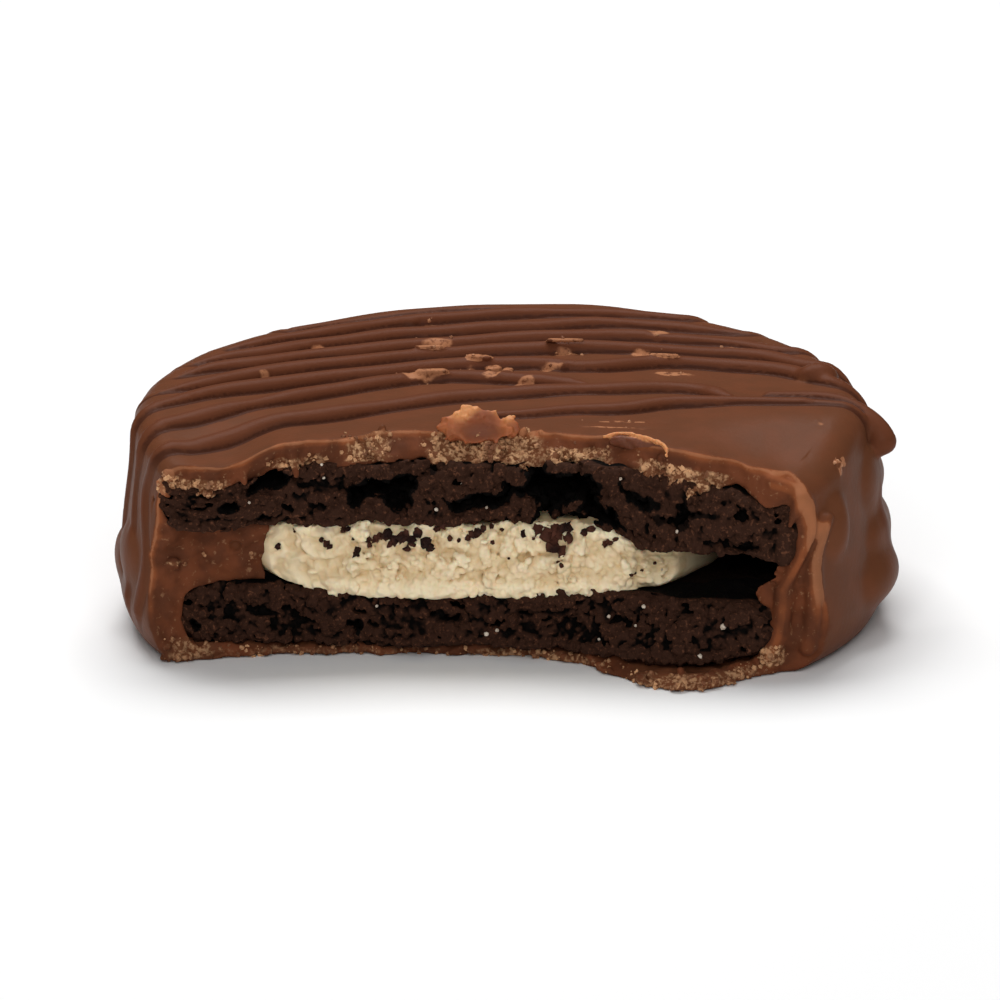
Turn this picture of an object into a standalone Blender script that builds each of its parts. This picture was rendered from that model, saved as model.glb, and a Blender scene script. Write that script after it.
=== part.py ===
# Chocolate sandwich cookie, with about a fifth of the disc broken away at the front.
#
# Two dark wafers with a cream filling sit inside a milk chocolate coating, and ridges of
# drizzled chocolate run over its top and down its sides. The break shows every layer.
# Lengths are in metres, +Z is up, the break faces -Y, and the flat underside lies at z = 0.

import math

import bmesh
import bpy
import numpy as np
from mathutils import Vector

MM = 0.001

# Where the axis of the whole disc stands, so that the origin is under the middle of what is left.
AXIS_X = -0.25 * MM
AXIS_Y = -4.8 * MM

# The layers, from the bottom up.
GAP = 0.3 * MM
BASE_COAT = 0.6 * MM
WAFER_THICKNESS = 3.7 * MM
CREAM_THICKNESS = 3.4 * MM
TOP_COAT = 1.2 * MM

WAFER_RADIUS = 21.8 * MM
WAFER_EDGE = 0.9 * MM
CREAM_RADIUS = 15.2 * MM
CREAM_EDGE = 1.2 * MM
CREAM_OFFSET = (-1.8 * MM, 0.3 * MM)

BOTTOM_WAFER_Z = BASE_COAT + GAP
CREAM_Z = BOTTOM_WAFER_Z + WAFER_THICKNESS + GAP
TOP_WAFER_Z = CREAM_Z + CREAM_THICKNESS + GAP
COAT_Z = TOP_WAFER_Z + WAFER_THICKNESS + GAP + TOP_COAT

# The coating's outline: a rounded rim, a flank that leans out, and a foot that tucks in.
TOP_RADIUS = 20.35 * MM
RIM_ROUND = 2.35 * MM
RIM_LAST_ANGLE = math.radians(8)
FOOT_RADIUS = 23.75 * MM
FOOT_Z = 3.0 * MM
BASE_RADIUS = 21.5 * MM
TURN_STEPS = 60

# The hollow beside the filling, at the right end of the break.
HOLLOW_CENTRE = (12.9 * MM, -8.4 * MM, 6.6 * MM)
HOLLOW_RADII = (5.1 * MM, 8.4 * MM, 2.6 * MM)

# The break: how far it lies in front of the axis, and how much further at the ends.
BREAK_DEPTH = 9.4 * MM
BREAK_SWEEP = 2.6 * MM
BREAK_HALF_WIDTH = 20.0 * MM
CUTTER_HALF_WIDTH = 30.0 * MM
CUTTER_FRONT = 40.0 * MM
CUTTER_COLUMNS = 52
CUTTER_ROW_HEIGHT = 1.0 * MM

# A drizzled ridge sinks this part of its radius into the coating.
SINK = 0.35
STRAND_STEP = 2.2 * MM

# Past the rim a ridge keeps its heading for about this far before it hangs straight down.
DRIFT = 1.6 * MM

# Its two ends taper to this part of its radius.
TIP_SHARE = 0.62

# Each ridge: its crest seen from above in millimetres from the disc's axis, from left to
# right, its radius, and the height at which it ends on the left and the right flank. None
# is an end that stays on the top.
STRANDS = [
    ("front", [(-1.0, -6.4), (3.7, -4.5), (8.0, -3.6), (12.0, -2.0), (18.6, -2.0)], 0.95, None, 1.6),
    ("second", [(-18.5, -9.6), (-14.9, -7.9), (-9.3, -5.4), (-2.0, -1.6), (5.5, 0.2), (11.6, 1.6),
                (14.0, -0.4)], 1.15, 1.6, None),
    ("third", [(-19.6, -7.0), (-15.8, -4.5), (-10.7, -0.7), (-4.0, 3.0), (1.5, 2.4), (5.5, 1.2)],
     1.05, 1.8, None),
    ("fourth", [(-20.4, -3.6), (-16.4, -0.4), (-10.7, 2.7), (-4.5, 5.4), (1.0, 6.2), (4.5, 5.6),
                (9.0, 7.6), (15.0, 7.8), (20.0, 5.2)], 1.05, 3.5, 9.5),
    ("fifth", [(-20.6, -0.4), (-17.1, 1.9), (-13.0, 4.8), (-5.0, 8.2), (2.0, 9.9), (9.0, 10.6),
               (15.0, 10.4), (18.4, 8.6)], 1.0, 2.5, 6.0),
    ("sixth", [(-20.3, 3.0), (-17.1, 5.1), (-9.8, 8.9), (-3.3, 11.2), (4.0, 13.0), (11.0, 13.2),
               (16.4, 12.0)], 1.0, 4.5, 4.0),
    ("seventh", [(-19.3, 6.4), (-15.0, 8.6), (-8.5, 12.4), (-0.7, 14.7), (6.0, 16.0), (13.6, 15.3)],
     1.0, 3.0, 7.0),
    ("eighth", [(-17.6, 9.8), (-13.1, 12.6), (-6.9, 16.2), (1.0, 18.3), (9.6, 18.0)], 0.95, 6.0, 5.0),
    ("ninth", [(-14.2, 14.4), (-8.0, 18.3), (-1.0, 20.3)], 0.9, 4.0, None),
]

# A thick drip that hangs out over the right rim: its points from the disc's axis in millimetres.
DRIP = [(14.5, -1.0, 13.5), (18.5, -1.2, 13.5), (21.0, -2.0, 13.2), (22.7, -3.0, 12.3),
        (23.5, -3.8, 11.2), (23.6, -4.2, 10.3)]
DRIP_RADIUS = 1.05 * MM

# A broken flake that stands up at the middle of the break.
FLAKE_CENTRE = (-0.4 * MM, -8.4 * MM, 14.1 * MM)
FLAKE_SIZE = (4.3 * MM, 1.1 * MM, 3.2 * MM)
FLAKE_TILT = math.radians(-24)
FLAKE_TOP_SHARES = (0.75, 0.5)

MILK_CHOCOLATE = (0.118, 0.050, 0.029, 1.0)
DARK_WAFER = (0.017, 0.0105, 0.009, 1.0)
CREAM_WHITE = (0.70, 0.53, 0.34, 1.0)


def clear_scene():
    for item in list(bpy.data.objects):
        bpy.data.objects.remove(item, do_unlink=True)


def make_collection(name):
    group = bpy.data.collections.new(name)
    bpy.context.scene.collection.children.link(group)
    return group


def make_material(name, colour, roughness):
    material = bpy.data.materials.new(name)
    material.use_nodes = True
    shader = material.node_tree.nodes["Principled BSDF"]
    shader.inputs["Base Color"].default_value = colour
    shader.inputs["Roughness"].default_value = roughness
    shader.inputs["Metallic"].default_value = 0.0
    material.diffuse_color = colour
    return material


def add_object(name, data, group, parent):
    item = bpy.data.objects.new(name, data)
    group.objects.link(item)
    item.parent = parent
    return item


def mark_cutter(item):
    item.hide_render = True
    item.display_type = "WIRE"


def coat_outline():
    """The coating's half section as (radius, height) pairs, from the top centre to the bottom."""
    points = [(0.0, COAT_Z), (TOP_RADIUS * 0.5, COAT_Z)]
    for angle in np.linspace(math.pi / 2, RIM_LAST_ANGLE, 6):
        radius = TOP_RADIUS + RIM_ROUND * math.cos(angle)
        points.append((radius, COAT_Z - RIM_ROUND + RIM_ROUND * math.sin(angle)))
    rim_radius, rim_z = points[-1]
    for share in (0.33, 0.67):
        points.append((rim_radius + (FOOT_RADIUS - rim_radius) * share, rim_z + (FOOT_Z - rim_z) * share))
    for angle in np.linspace(0.0, math.pi / 2, 5):
        radius = BASE_RADIUS + (FOOT_RADIUS - BASE_RADIUS) * math.cos(angle)
        points.append((radius, FOOT_Z - FOOT_Z * math.sin(angle)))
    points.append((0.0, 0.0))
    return points


def rounded_edge(radius, height, edge, start, end):
    """The corner of a disc's outline, from one angle to another."""
    places = []
    for angle in np.linspace(start, end, 3):
        places.append((radius - edge + edge * math.cos(angle), height + edge * math.sin(angle)))
    return places


def disc_outline(radius, bottom, top, edge):
    """A disc with rounded edges, from the top centre to the bottom centre."""
    upper = rounded_edge(radius, top - edge, edge, math.pi / 2, 0.0)
    lower = rounded_edge(radius, bottom + edge, edge, 0.0, -math.pi / 2)
    return [(0.0, top)] + upper + lower + [(0.0, bottom)]


def turned(name, outline, group, parent):
    """A profile turned round the disc's axis."""
    mesh = bpy.data.meshes.new(name)
    edges = [(index, index + 1) for index in range(len(outline) - 1)]
    mesh.from_pydata([(radius, 0.0, height) for radius, height in outline], edges, [])
    item = add_object(name, mesh, group, parent)
    screw = item.modifiers.new("Turn", "SCREW")
    screw.axis = "Z"
    screw.angle = 2 * math.pi
    screw.steps = TURN_STEPS
    screw.render_steps = TURN_STEPS
    screw.use_merge_vertices = True
    screw.merge_threshold = 0.00001
    screw.use_smooth_shade = True
    return item


def join_or_cut(item, other, operation):
    boolean = item.modifiers.new(other.name, "BOOLEAN")
    boolean.operation = operation
    boolean.solver = "EXACT"
    boolean.object = other


def skin_point(distance):
    """Point and outward direction on the coating's outline, a distance along it from the axis."""
    outline = np.array(coat_outline())
    lengths = np.concatenate([[0.0], np.cumsum(np.linalg.norm(np.diff(outline, axis=0), axis=1))])
    reach = 0.6 * MM
    here = [float(np.interp(distance, lengths, outline[:, axis])) for axis in (0, 1)]
    before = [float(np.interp(distance - reach, lengths, outline[:, axis])) for axis in (0, 1)]
    after = [float(np.interp(distance + reach, lengths, outline[:, axis])) for axis in (0, 1)]
    along = Vector((after[0] - before[0], after[1] - before[1])).normalized()
    return here, (-along.y, along.x)


def skin_distance(height):
    """How far along the outline the flank reaches a height."""
    outline = np.array(coat_outline())
    lengths = np.concatenate([[0.0], np.cumsum(np.linalg.norm(np.diff(outline, axis=0), axis=1))])
    flank = outline[:, 1] < COAT_Z - 0.01 * MM
    return float(np.interp(-height, -outline[flank, 1], lengths[flank]))


def on_skin(angle, distance, sink):
    """A place on the coating, by its direction from the axis and the distance along the outline."""
    (radius, height), (out_r, out_z) = skin_point(distance)
    radius -= out_r * sink
    height -= out_z * sink
    return Vector((radius * math.cos(angle), radius * math.sin(angle), height))


def smooth_line(points, step):
    """Points a step apart on a smooth curve through the given ones."""
    points = [np.array(point, dtype=float) for point in points]
    padded = [2 * points[0] - points[1]] + points + [2 * points[-1] - points[-2]]
    line = []
    for index in range(1, len(padded) - 2):
        before, start, end, after = padded[index - 1:index + 3]
        count = max(2, round(float(np.linalg.norm(end - start)) / step))
        for part in range(count):
            t = part / count
            line.append(0.5 * (2 * start + (end - before) * t
                               + (2 * before - 5 * start + 4 * end - after) * t ** 2
                               + (3 * start - before - 3 * end + after) * t ** 3))
    line.append(points[-1])
    return line


def flank_run(place, inner, end_height, sink):
    """The stretch from a place near the rim down the flank, which soon hangs straight down."""
    angle = math.atan2(place[1], place[0])
    start = float(np.hypot(place[0], place[1]))
    end = skin_distance(end_height)
    heading = (place - inner) / np.linalg.norm(place - inner)
    sideways = float(heading[1] * math.cos(angle) - heading[0] * math.sin(angle))
    count = max(4, round((end - start) / STRAND_STEP * 1.5))
    run = []
    for part in range(1, count + 1):
        travelled = (end - start) * part / count
        drift = sideways * DRIFT * (1.0 - math.exp(-travelled / DRIFT))
        run.append(on_skin(angle + drift / start, start + travelled, sink))
    return run


def strand_points(crest, radius, left_end, right_end):
    """The centre line of a ridge, from the left flank over the top to the right flank."""
    sink = SINK * radius
    crest = [np.array(point) * MM for point in crest]
    plan = smooth_line(crest, STRAND_STEP)
    top = []
    for x, y in plan:
        distance = math.hypot(x, y)
        top.append(on_skin(math.atan2(y, x), distance, sink))
    left = flank_run(crest[0], crest[1], left_end * MM, sink) if left_end else []
    right = flank_run(crest[-1], crest[-2], right_end * MM, sink) if right_end else []
    return left[::-1] + top + right


def tube(name, points, radius, group, parent):
    """A round rope of chocolate through the points, with ends that dive into the coating."""
    curve = bpy.data.curves.new(name, "CURVE")
    curve.dimensions = "3D"
    curve.bevel_depth = radius
    curve.bevel_resolution = 1
    curve.use_fill_caps = True
    spline = curve.splines.new("POLY")
    spline.points.add(len(points) - 1)
    for place, point in zip(spline.points, points):
        place.co = (*point, 1.0)
    spline.points[0].radius = TIP_SHARE
    spline.points[-1].radius = TIP_SHARE
    rope = add_object(name, curve, group, parent)
    bpy.context.view_layer.update()
    graph = bpy.context.evaluated_depsgraph_get()
    mesh = bpy.data.meshes.new_from_object(rope.evaluated_get(graph))
    item = add_object(name, mesh, group, parent)
    item.matrix_world = rope.matrix_world
    bpy.data.objects.remove(rope, do_unlink=True)
    bpy.data.curves.remove(curve)
    weld = bmesh.new()
    weld.from_mesh(mesh)
    bmesh.ops.remove_doubles(weld, verts=weld.verts, dist=0.00001)
    bmesh.ops.recalc_face_normals(weld, faces=weld.faces)
    weld.to_mesh(mesh)
    weld.free()
    mark_cutter(item)
    return item


def bump(x, centre, width):
    """One smooth hump of height 1."""
    return math.exp(-((x - centre) / width) ** 2)


def break_line(x):
    """How far the break lies from the axis in Y: a shallow bay that comes forward at its ends."""
    return -BREAK_DEPTH - BREAK_SWEEP * (x / BREAK_HALF_WIDTH) ** 2


def coat_break(x, z):
    """The broken chocolate: set back above the top wafer, and forward under the bottom one."""
    u = x / MM
    above = min(max((z - 11.6 * MM) / (1.5 * MM), 0.0), 1.0)
    below = min(max((1.6 * MM - z) / (1.6 * MM), 0.0), 1.0)
    ragged = 0.35 * math.sin(u * 1.9) + 0.25 * math.sin(u * 3.1 + 1.0)
    set_back = 2.0 * bump(u, 3.0, 10.0) - 1.1 * bump(u, -0.4, 2.0) + ragged * bump(u, 0.0, 16.0)
    forward = 3.6 * bump(u, 12.5, 5.0) + 0.4 * bump(u, -8.0, 5.0) + 0.5 * ragged
    return break_line(x) + (above * set_back - below * forward) * MM


def wafer_break(x, z):
    """The broken wafers: coarse and uneven, with steps from layer to layer."""
    u = x / MM
    w = z / MM
    rough = 0.38 * math.sin(1.25 * u + 1.9 * w) + 0.30 * math.sin(2.3 * u - 1.3 * w + 2.0)
    rough += 0.22 * math.sin(0.7 * u + 2.9 * w + 4.0)
    lean = 2.6 * bump(u, 12.0, 5.5) * min(max((4.6 - w) / 3.7, 0.0), 1.0)
    return break_line(x) + (rough * 0.8 - lean) * MM


def cream_break(x, z):
    """The torn filling, a little behind the wafers, with a soft bulge in the middle of its height."""
    u = x / MM
    w = (z - CREAM_Z) / CREAM_THICKNESS
    swell = 0.7 * math.sin(math.pi * min(max(w, 0.0), 1.0))
    waves = 0.22 * math.sin(0.9 * u + 0.5) + 0.15 * math.sin(2.1 * u + 2.0)
    return break_line(x) + (0.7 - swell + waves) * MM


def break_cutter(name, surface, bottom, top, group, parent):
    """Everything in front of a break surface, as a closed block."""
    block = bmesh.new()
    rows = round((top - bottom) / CUTTER_ROW_HEIGHT)
    bmesh.ops.create_grid(block, x_segments=CUTTER_COLUMNS, y_segments=rows, size=1.0)
    for vert in block.verts:
        x = vert.co.x * CUTTER_HALF_WIDTH
        z = bottom + (vert.co.y + 1.0) / 2 * (top - bottom)
        vert.co = (x, surface(x, z), z)
    moved = bmesh.ops.extrude_face_region(block, geom=block.faces[:], use_keep_orig=True)
    for vert in [item for item in moved["geom"] if isinstance(item, bmesh.types.BMVert)]:
        vert.co.y = -CUTTER_FRONT
    bmesh.ops.recalc_face_normals(block, faces=block.faces)
    mesh = bpy.data.meshes.new(name)
    block.to_mesh(mesh)
    block.free()
    item = add_object(name, mesh, group, parent)
    mark_cutter(item)
    return item


def flake(group, parent):
    """A small wedge, narrower at its top, that leans back over the top of the coating."""
    wedge = bmesh.new()
    bmesh.ops.create_cube(wedge, size=1.0)
    for vert in wedge.verts:
        if vert.co.z > 0:
            vert.co.x *= FLAKE_TOP_SHARES[0]
            vert.co.y *= FLAKE_TOP_SHARES[1]
        vert.co = Vector([side * length for side, length in zip(vert.co, FLAKE_SIZE)])
    mesh = bpy.data.meshes.new("flake")
    wedge.to_mesh(mesh)
    wedge.free()
    item = add_object("flake", mesh, group, parent)
    item.location = FLAKE_CENTRE
    item.rotation_euler = (FLAKE_TILT, 0.0, 0.0)
    mark_cutter(item)
    return item


def hollow_cutter(group, parent):
    """The egg-shaped hollow beside the filling."""
    ball = bmesh.new()
    bmesh.ops.create_uvsphere(ball, u_segments=20, v_segments=12, radius=1.0)
    for vert in ball.verts:
        vert.co = Vector([centre + radius * side for centre, radius, side
                          in zip(HOLLOW_CENTRE, HOLLOW_RADII, vert.co)])
    mesh = bpy.data.meshes.new("hollow_cutter")
    ball.to_mesh(mesh)
    ball.free()
    item = add_object("hollow_cutter", mesh, group, parent)
    mark_cutter(item)
    return item


def build_coating(parts, cutters, parent):
    coating = turned("coating", coat_outline(), parts, parent)
    for name, crest, radius, left_end, right_end in STRANDS:
        points = strand_points(crest, radius * MM, left_end, right_end)
        join_or_cut(coating, tube("strand_" + name, points, radius * MM, cutters, parent), "UNION")
    drip = smooth_line([np.array(point) * MM for point in DRIP], STRAND_STEP)
    join_or_cut(coating, tube("drip", drip, DRIP_RADIUS, cutters, parent), "UNION")
    join_or_cut(coating, flake(cutters, parent), "UNION")

    middle = WAFER_THICKNESS / 2
    pockets = [
        ("pocket_bottom", WAFER_RADIUS + GAP, BASE_COAT, CREAM_Z, WAFER_EDGE + GAP),
        ("pocket_top", WAFER_RADIUS + GAP, TOP_WAFER_Z - GAP, COAT_Z - TOP_COAT, WAFER_EDGE + GAP),
        ("waist", CREAM_RADIUS + GAP, CREAM_Z - middle, TOP_WAFER_Z + middle, CREAM_EDGE),
    ]
    for name, radius, bottom, top, edge in pockets:
        pocket = turned(name, disc_outline(radius, bottom, top, edge), cutters, parent)
        mark_cutter(pocket)
        join_or_cut(coating, pocket, "DIFFERENCE")
    bpy.data.objects["waist"].location.xy = CREAM_OFFSET
    join_or_cut(coating, hollow_cutter(cutters, parent), "DIFFERENCE")
    front = break_cutter("break_coating", coat_break, -2 * MM, 18 * MM, cutters, parent)
    join_or_cut(coating, front, "DIFFERENCE")
    coating.data.materials.append(make_material("milk_chocolate", MILK_CHOCOLATE, 0.42))
    return coating


def build_wafer(name, bottom, material, parts, cutters, parent):
    outline = disc_outline(WAFER_RADIUS, bottom, bottom + WAFER_THICKNESS, WAFER_EDGE)
    wafer = turned(name, outline, parts, parent)
    margin = 0.5 * MM
    front = break_cutter("break_" + name, wafer_break, bottom - margin,
                         bottom + WAFER_THICKNESS + margin, cutters, parent)
    join_or_cut(wafer, front, "DIFFERENCE")
    wafer.data.materials.append(material)
    return wafer


def build_cream(parts, cutters, parent):
    outline = disc_outline(CREAM_RADIUS, CREAM_Z, CREAM_Z + CREAM_THICKNESS, CREAM_EDGE)
    cream = turned("cream", outline, parts, parent)
    cream.location.xy = CREAM_OFFSET
    margin = 0.5 * MM
    front = break_cutter("break_cream", cream_break, CREAM_Z - margin,
                         CREAM_Z + CREAM_THICKNESS + margin, cutters, parent)
    join_or_cut(cream, front, "DIFFERENCE")
    cream.data.materials.append(make_material("cream_filling", CREAM_WHITE, 0.7))
    return cream


def main():
    clear_scene()
    parts = make_collection("sandwich_cookie")
    cutters = make_collection("cutters")
    axis = bpy.data.objects.new("disc_axis", None)
    axis.location = (AXIS_X, AXIS_Y, 0.0)
    parts.objects.link(axis)

    build_coating(parts, cutters, axis)
    dark = make_material("dark_wafer", DARK_WAFER, 0.9)
    build_wafer("wafer_bottom", BOTTOM_WAFER_Z, dark, parts, cutters, axis)
    build_wafer("wafer_top", TOP_WAFER_Z, dark, parts, cutters, axis)
    build_cream(parts, cutters, axis)


main()
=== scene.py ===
import math

import bmesh
import bpy
import numpy as np
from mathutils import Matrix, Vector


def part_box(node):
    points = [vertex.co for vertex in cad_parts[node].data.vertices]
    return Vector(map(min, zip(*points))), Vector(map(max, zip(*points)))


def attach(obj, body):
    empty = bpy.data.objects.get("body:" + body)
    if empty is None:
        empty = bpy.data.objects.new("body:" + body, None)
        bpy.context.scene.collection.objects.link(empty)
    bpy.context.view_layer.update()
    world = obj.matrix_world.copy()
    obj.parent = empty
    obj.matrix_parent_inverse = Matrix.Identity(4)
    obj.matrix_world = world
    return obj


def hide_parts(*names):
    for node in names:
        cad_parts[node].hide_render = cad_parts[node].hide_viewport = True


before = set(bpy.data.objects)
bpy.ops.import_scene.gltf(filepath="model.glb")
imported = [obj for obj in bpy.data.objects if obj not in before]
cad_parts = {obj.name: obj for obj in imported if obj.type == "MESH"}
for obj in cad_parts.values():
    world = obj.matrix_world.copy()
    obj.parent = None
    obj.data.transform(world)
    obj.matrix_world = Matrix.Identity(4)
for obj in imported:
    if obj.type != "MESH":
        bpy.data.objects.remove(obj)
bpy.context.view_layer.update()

import openvdb
from mathutils import Matrix, Vector

# A broken sandwich cookie in drizzled milk chocolate. Everything is worked out in millimetres
# from the disc's axis, with the break towards -Y, and set down on the frame at the end.

mm = 0.001
topWaferLow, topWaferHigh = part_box("wafer_top")
bottomWaferLow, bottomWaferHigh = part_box("wafer_bottom")
creamLow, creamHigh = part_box("cream")
waferRadius = (topWaferHigh.x - topWaferLow.x) / 2 / mm
axisX = (topWaferLow.x + topWaferHigh.x) / 2 / mm
axisY = topWaferHigh.y / mm - waferRadius

levels = {
    "bottomLow": bottomWaferLow.z / mm,
    "bottomHigh": bottomWaferHigh.z / mm,
    "creamLow": creamLow.z / mm,
    "creamHigh": creamHigh.z / mm,
    "topLow": topWaferLow.z / mm,
    "topHigh": topWaferHigh.z / mm,
    "coatTop": topWaferHigh.z / mm + 1.5,
}


# Fields on a grid: negative inside, in millimetres.

def gridLine(low, high, fineLow, fineHigh, fine, coarse):
    # fine steps between two places, widening step by step beyond them
    places = list(np.arange(fineLow, fineHigh + fine / 2, fine))
    step = fine
    while places[-1] < high:
        step = min(step * 1.1, coarse)
        places.append(places[-1] + step)
    step = fine
    while places[0] > low:
        step = min(step * 1.1, coarse)
        places.insert(0, places[0] - step)
    return np.array(places, dtype=np.float32)


def sweepWeights(places, start, cell, count):
    # how much each lattice point counts at each place, on a cubic B-spline
    where = (places - start) / cell
    base = np.floor(where).astype(int)
    t = (where - base).astype(np.float32)
    weights = np.zeros((len(places), count), dtype=np.float32)
    rows = np.arange(len(places))
    shares = [(1 - t) ** 3 / 6, (3 * t ** 3 - 6 * t ** 2 + 4) / 6,
              (-3 * t ** 3 + 3 * t ** 2 + 3 * t + 1) / 6, t ** 3 / 6]
    for offset, share in enumerate(shares):
        weights[rows, np.clip(base + offset, 0, count - 1)] += share
    return weights


def roughField(axes, cell, seed):
    # smooth random unevenness about one unit high, with lumps about a cell across
    cells = cell if isinstance(cell, tuple) else (cell, cell, cell)
    counts = [int(math.ceil((line[-1] - line[0]) / size)) + 5 for line, size in zip(axes, cells)]
    lattice = np.random.default_rng(seed).standard_normal(counts).astype(np.float32)
    wx, wy, wz = [sweepWeights(line, line[0] - size, size, count)
                  for line, size, count in zip(axes, cells, counts)]
    field = (wx @ lattice.reshape(counts[0], -1)).reshape(len(axes[0]), counts[1], counts[2])
    return np.matmul(np.matmul(wy, field), wz.T) * 3.0


def roughMap(xs, zs, cell, seed):
    # the same in two directions
    return roughField((xs, np.zeros(1, dtype=np.float32), zs), (cell, 1.0, cell), seed)[:, 0, :]


def softMin(a, b, blend):
    share = np.clip(0.5 + 0.5 * (b - a) / blend, 0, 1)
    return b + (a - b) * share - blend * share * (1 - share)


def softMax(a, b, blend):
    return -softMin(-a, -b, blend)


def window(axes, low, high):
    parts = []
    for line, start, end in zip(axes, low, high):
        first = int(np.searchsorted(line, start))
        last = int(np.searchsorted(line, end))
        parts.append(slice(max(first - 1, 0), min(last + 1, len(line))))
    return tuple(parts)


def around(axes, part, centre):
    # the three coordinates of a window, measured from a centre
    return (axes[0][part[0]][:, None, None] - centre[0],
            axes[1][part[1]][None, :, None] - centre[1],
            axes[2][part[2]][None, None, :] - centre[2])


def lumpDistance(axes, part, centre, radii, turn):
    x, y, z = around(axes, part, centre)
    px = (turn[0][0] * x + turn[1][0] * y + turn[2][0] * z) / radii[0]
    py = (turn[0][1] * x + turn[1][1] * y + turn[2][1] * z) / radii[1]
    pz = (turn[0][2] * x + turn[1][2] * y + turn[2][2] * z) / radii[2]
    reach = np.sqrt(px * px + py * py + pz * pz) + 1e-6
    slope = np.sqrt((px / radii[0]) ** 2 + (py / radii[1]) ** 2 + (pz / radii[2]) ** 2) + 1e-6
    return reach * (reach - 1) / slope


def anyTurn(rng):
    quaternion = rng.standard_normal(4)
    w, x, y, z = quaternion / np.linalg.norm(quaternion)
    return [[1 - 2 * (y * y + z * z), 2 * (x * y - z * w), 2 * (x * z + y * w)],
            [2 * (x * y + z * w), 1 - 2 * (x * x + z * z), 2 * (y * z - x * w)],
            [2 * (x * z - y * w), 2 * (y * z + x * w), 1 - 2 * (x * x + y * y)]]


def turnAbout(axis, degrees):
    return [list(row) for row in Matrix.Rotation(math.radians(degrees), 3, axis)]


straight = turnAbout("Z", 0)


def chipDistance(axes, part, centre, radii, turn):
    # the same for a chip with flat sides and worn corners
    x, y, z = around(axes, part, centre)
    px = (turn[0][0] * x + turn[1][0] * y + turn[2][0] * z) / radii[0]
    py = (turn[0][1] * x + turn[1][1] * y + turn[2][1] * z) / radii[1]
    pz = (turn[0][2] * x + turn[1][2] * y + turn[2][2] * z) / radii[2]
    reach = (px ** 6 + py ** 6 + pz ** 6) ** (1 / 6)
    return (reach - 1) * min(radii)


def addChip(field, axes, centre, radii, turn, blend):
    reach = max(radii) * 1.4 + blend + 0.1
    part = window(axes, [c - reach for c in centre], [c + reach for c in centre])
    if min(s.stop - s.start for s in part) > 0:
        field[part] = softMin(field[part], chipDistance(axes, part, centre, radii, turn), blend)


def addLump(field, axes, centre, radii, turn=straight, blend=0.3):
    reach = max(radii) + blend + 0.2
    part = window(axes, [c - reach for c in centre], [c + reach for c in centre])
    if min(s.stop - s.start for s in part) > 0:
        field[part] = softMin(field[part], lumpDistance(axes, part, centre, radii, turn), blend)


def takeLump(field, axes, centre, radii, turn=straight, blend=0.3):
    reach = max(radii) + blend + 0.2
    part = window(axes, [c - reach for c in centre], [c + reach for c in centre])
    if min(s.stop - s.start for s in part) > 0:
        field[part] = softMax(field[part], -lumpDistance(axes, part, centre, radii, turn), blend)


def ropeDistance(axes, points, radii, reach):
    # the distance to a rope through the points, in the window round it
    points = np.array(points, dtype=float)
    radii = np.broadcast_to(np.array(radii, dtype=float), len(points))
    part = window(axes, points.min(0) - reach - radii.max(), points.max(0) + reach + radii.max())
    near = np.full([s.stop - s.start for s in part], reach, dtype=np.float32)
    lines = [line[s] for line, s in zip(axes, part)]
    for start, end, first, last in zip(points[:-1], points[1:], radii[:-1], radii[1:]):
        edge = reach + max(first, last)
        inner = window(lines, np.minimum(start, end) - edge, np.maximum(start, end) + edge)
        x, y, z = around(lines, inner, start)
        run = end - start
        t = np.clip((x * run[0] + y * run[1] + z * run[2]) / float(run @ run), 0, 1)
        gap = np.sqrt((x - run[0] * t) ** 2 + (y - run[1] * t) ** 2 + (z - run[2] * t) ** 2)
        near[inner] = np.minimum(near[inner], gap - (first + (last - first) * t))
    return part, near


def addRope(field, axes, points, radii, blend, reach=1.2):
    part, near = ropeDistance(axes, points, radii, reach)
    field[part] = softMin(field[part], near, blend)


def outlineTable(outline, axes):
    # signed distance to a turned outline, at every place of the grid
    outline = np.array(outline, dtype=np.float32)
    rs = np.arange(0, 36, 0.08, dtype=np.float32)
    zs = axes[2]
    r, z = rs[:, None], zs[None, :]
    best = np.full((len(rs), len(zs)), 99.0, dtype=np.float32)
    inside = np.zeros((len(rs), len(zs)), dtype=bool)
    for (r0, z0), (r1, z1) in zip(outline[:-1], outline[1:]):
        dr, dz = r1 - r0, z1 - z0
        t = np.clip(((r - r0) * dr + (z - z0) * dz) / max(dr * dr + dz * dz, 1e-9), 0, 1)
        best = np.minimum(best, np.hypot(r - r0 - dr * t, z - z0 - dz * t))
        crosses = (z0 > z) != (z1 > z)
        if z1 != z0:
            inside ^= crosses & (r < r0 + (z - z0) * dr / dz)
    table = np.where(inside, -best, best)
    return rs, table


def turnedField(outline, axes, centre=(0.0, 0.0)):
    rs, table = outlineTable(outline, axes)
    radius = np.hypot(axes[0][:, None] - centre[0], axes[1][None, :] - centre[1])
    where = np.clip(radius / (rs[1] - rs[0]), 0, len(rs) - 2)
    base = where.astype(int)
    share = (where - base)[:, :, None].astype(np.float32)
    return table[base] * (1 - share) + table[base + 1] * share


def discOutline(radius, low, high, edge):
    upper = [(radius - edge + edge * math.cos(a), high - edge + edge * math.sin(a))
             for a in np.linspace(math.pi / 2, 0, 8)]
    lower = [(radius - edge + edge * math.cos(a), low + edge - edge * math.sin(a))
             for a in np.linspace(0, math.pi / 2, 8)]
    return [(0.0, high)] + upper + lower + [(0.0, low)]


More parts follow.
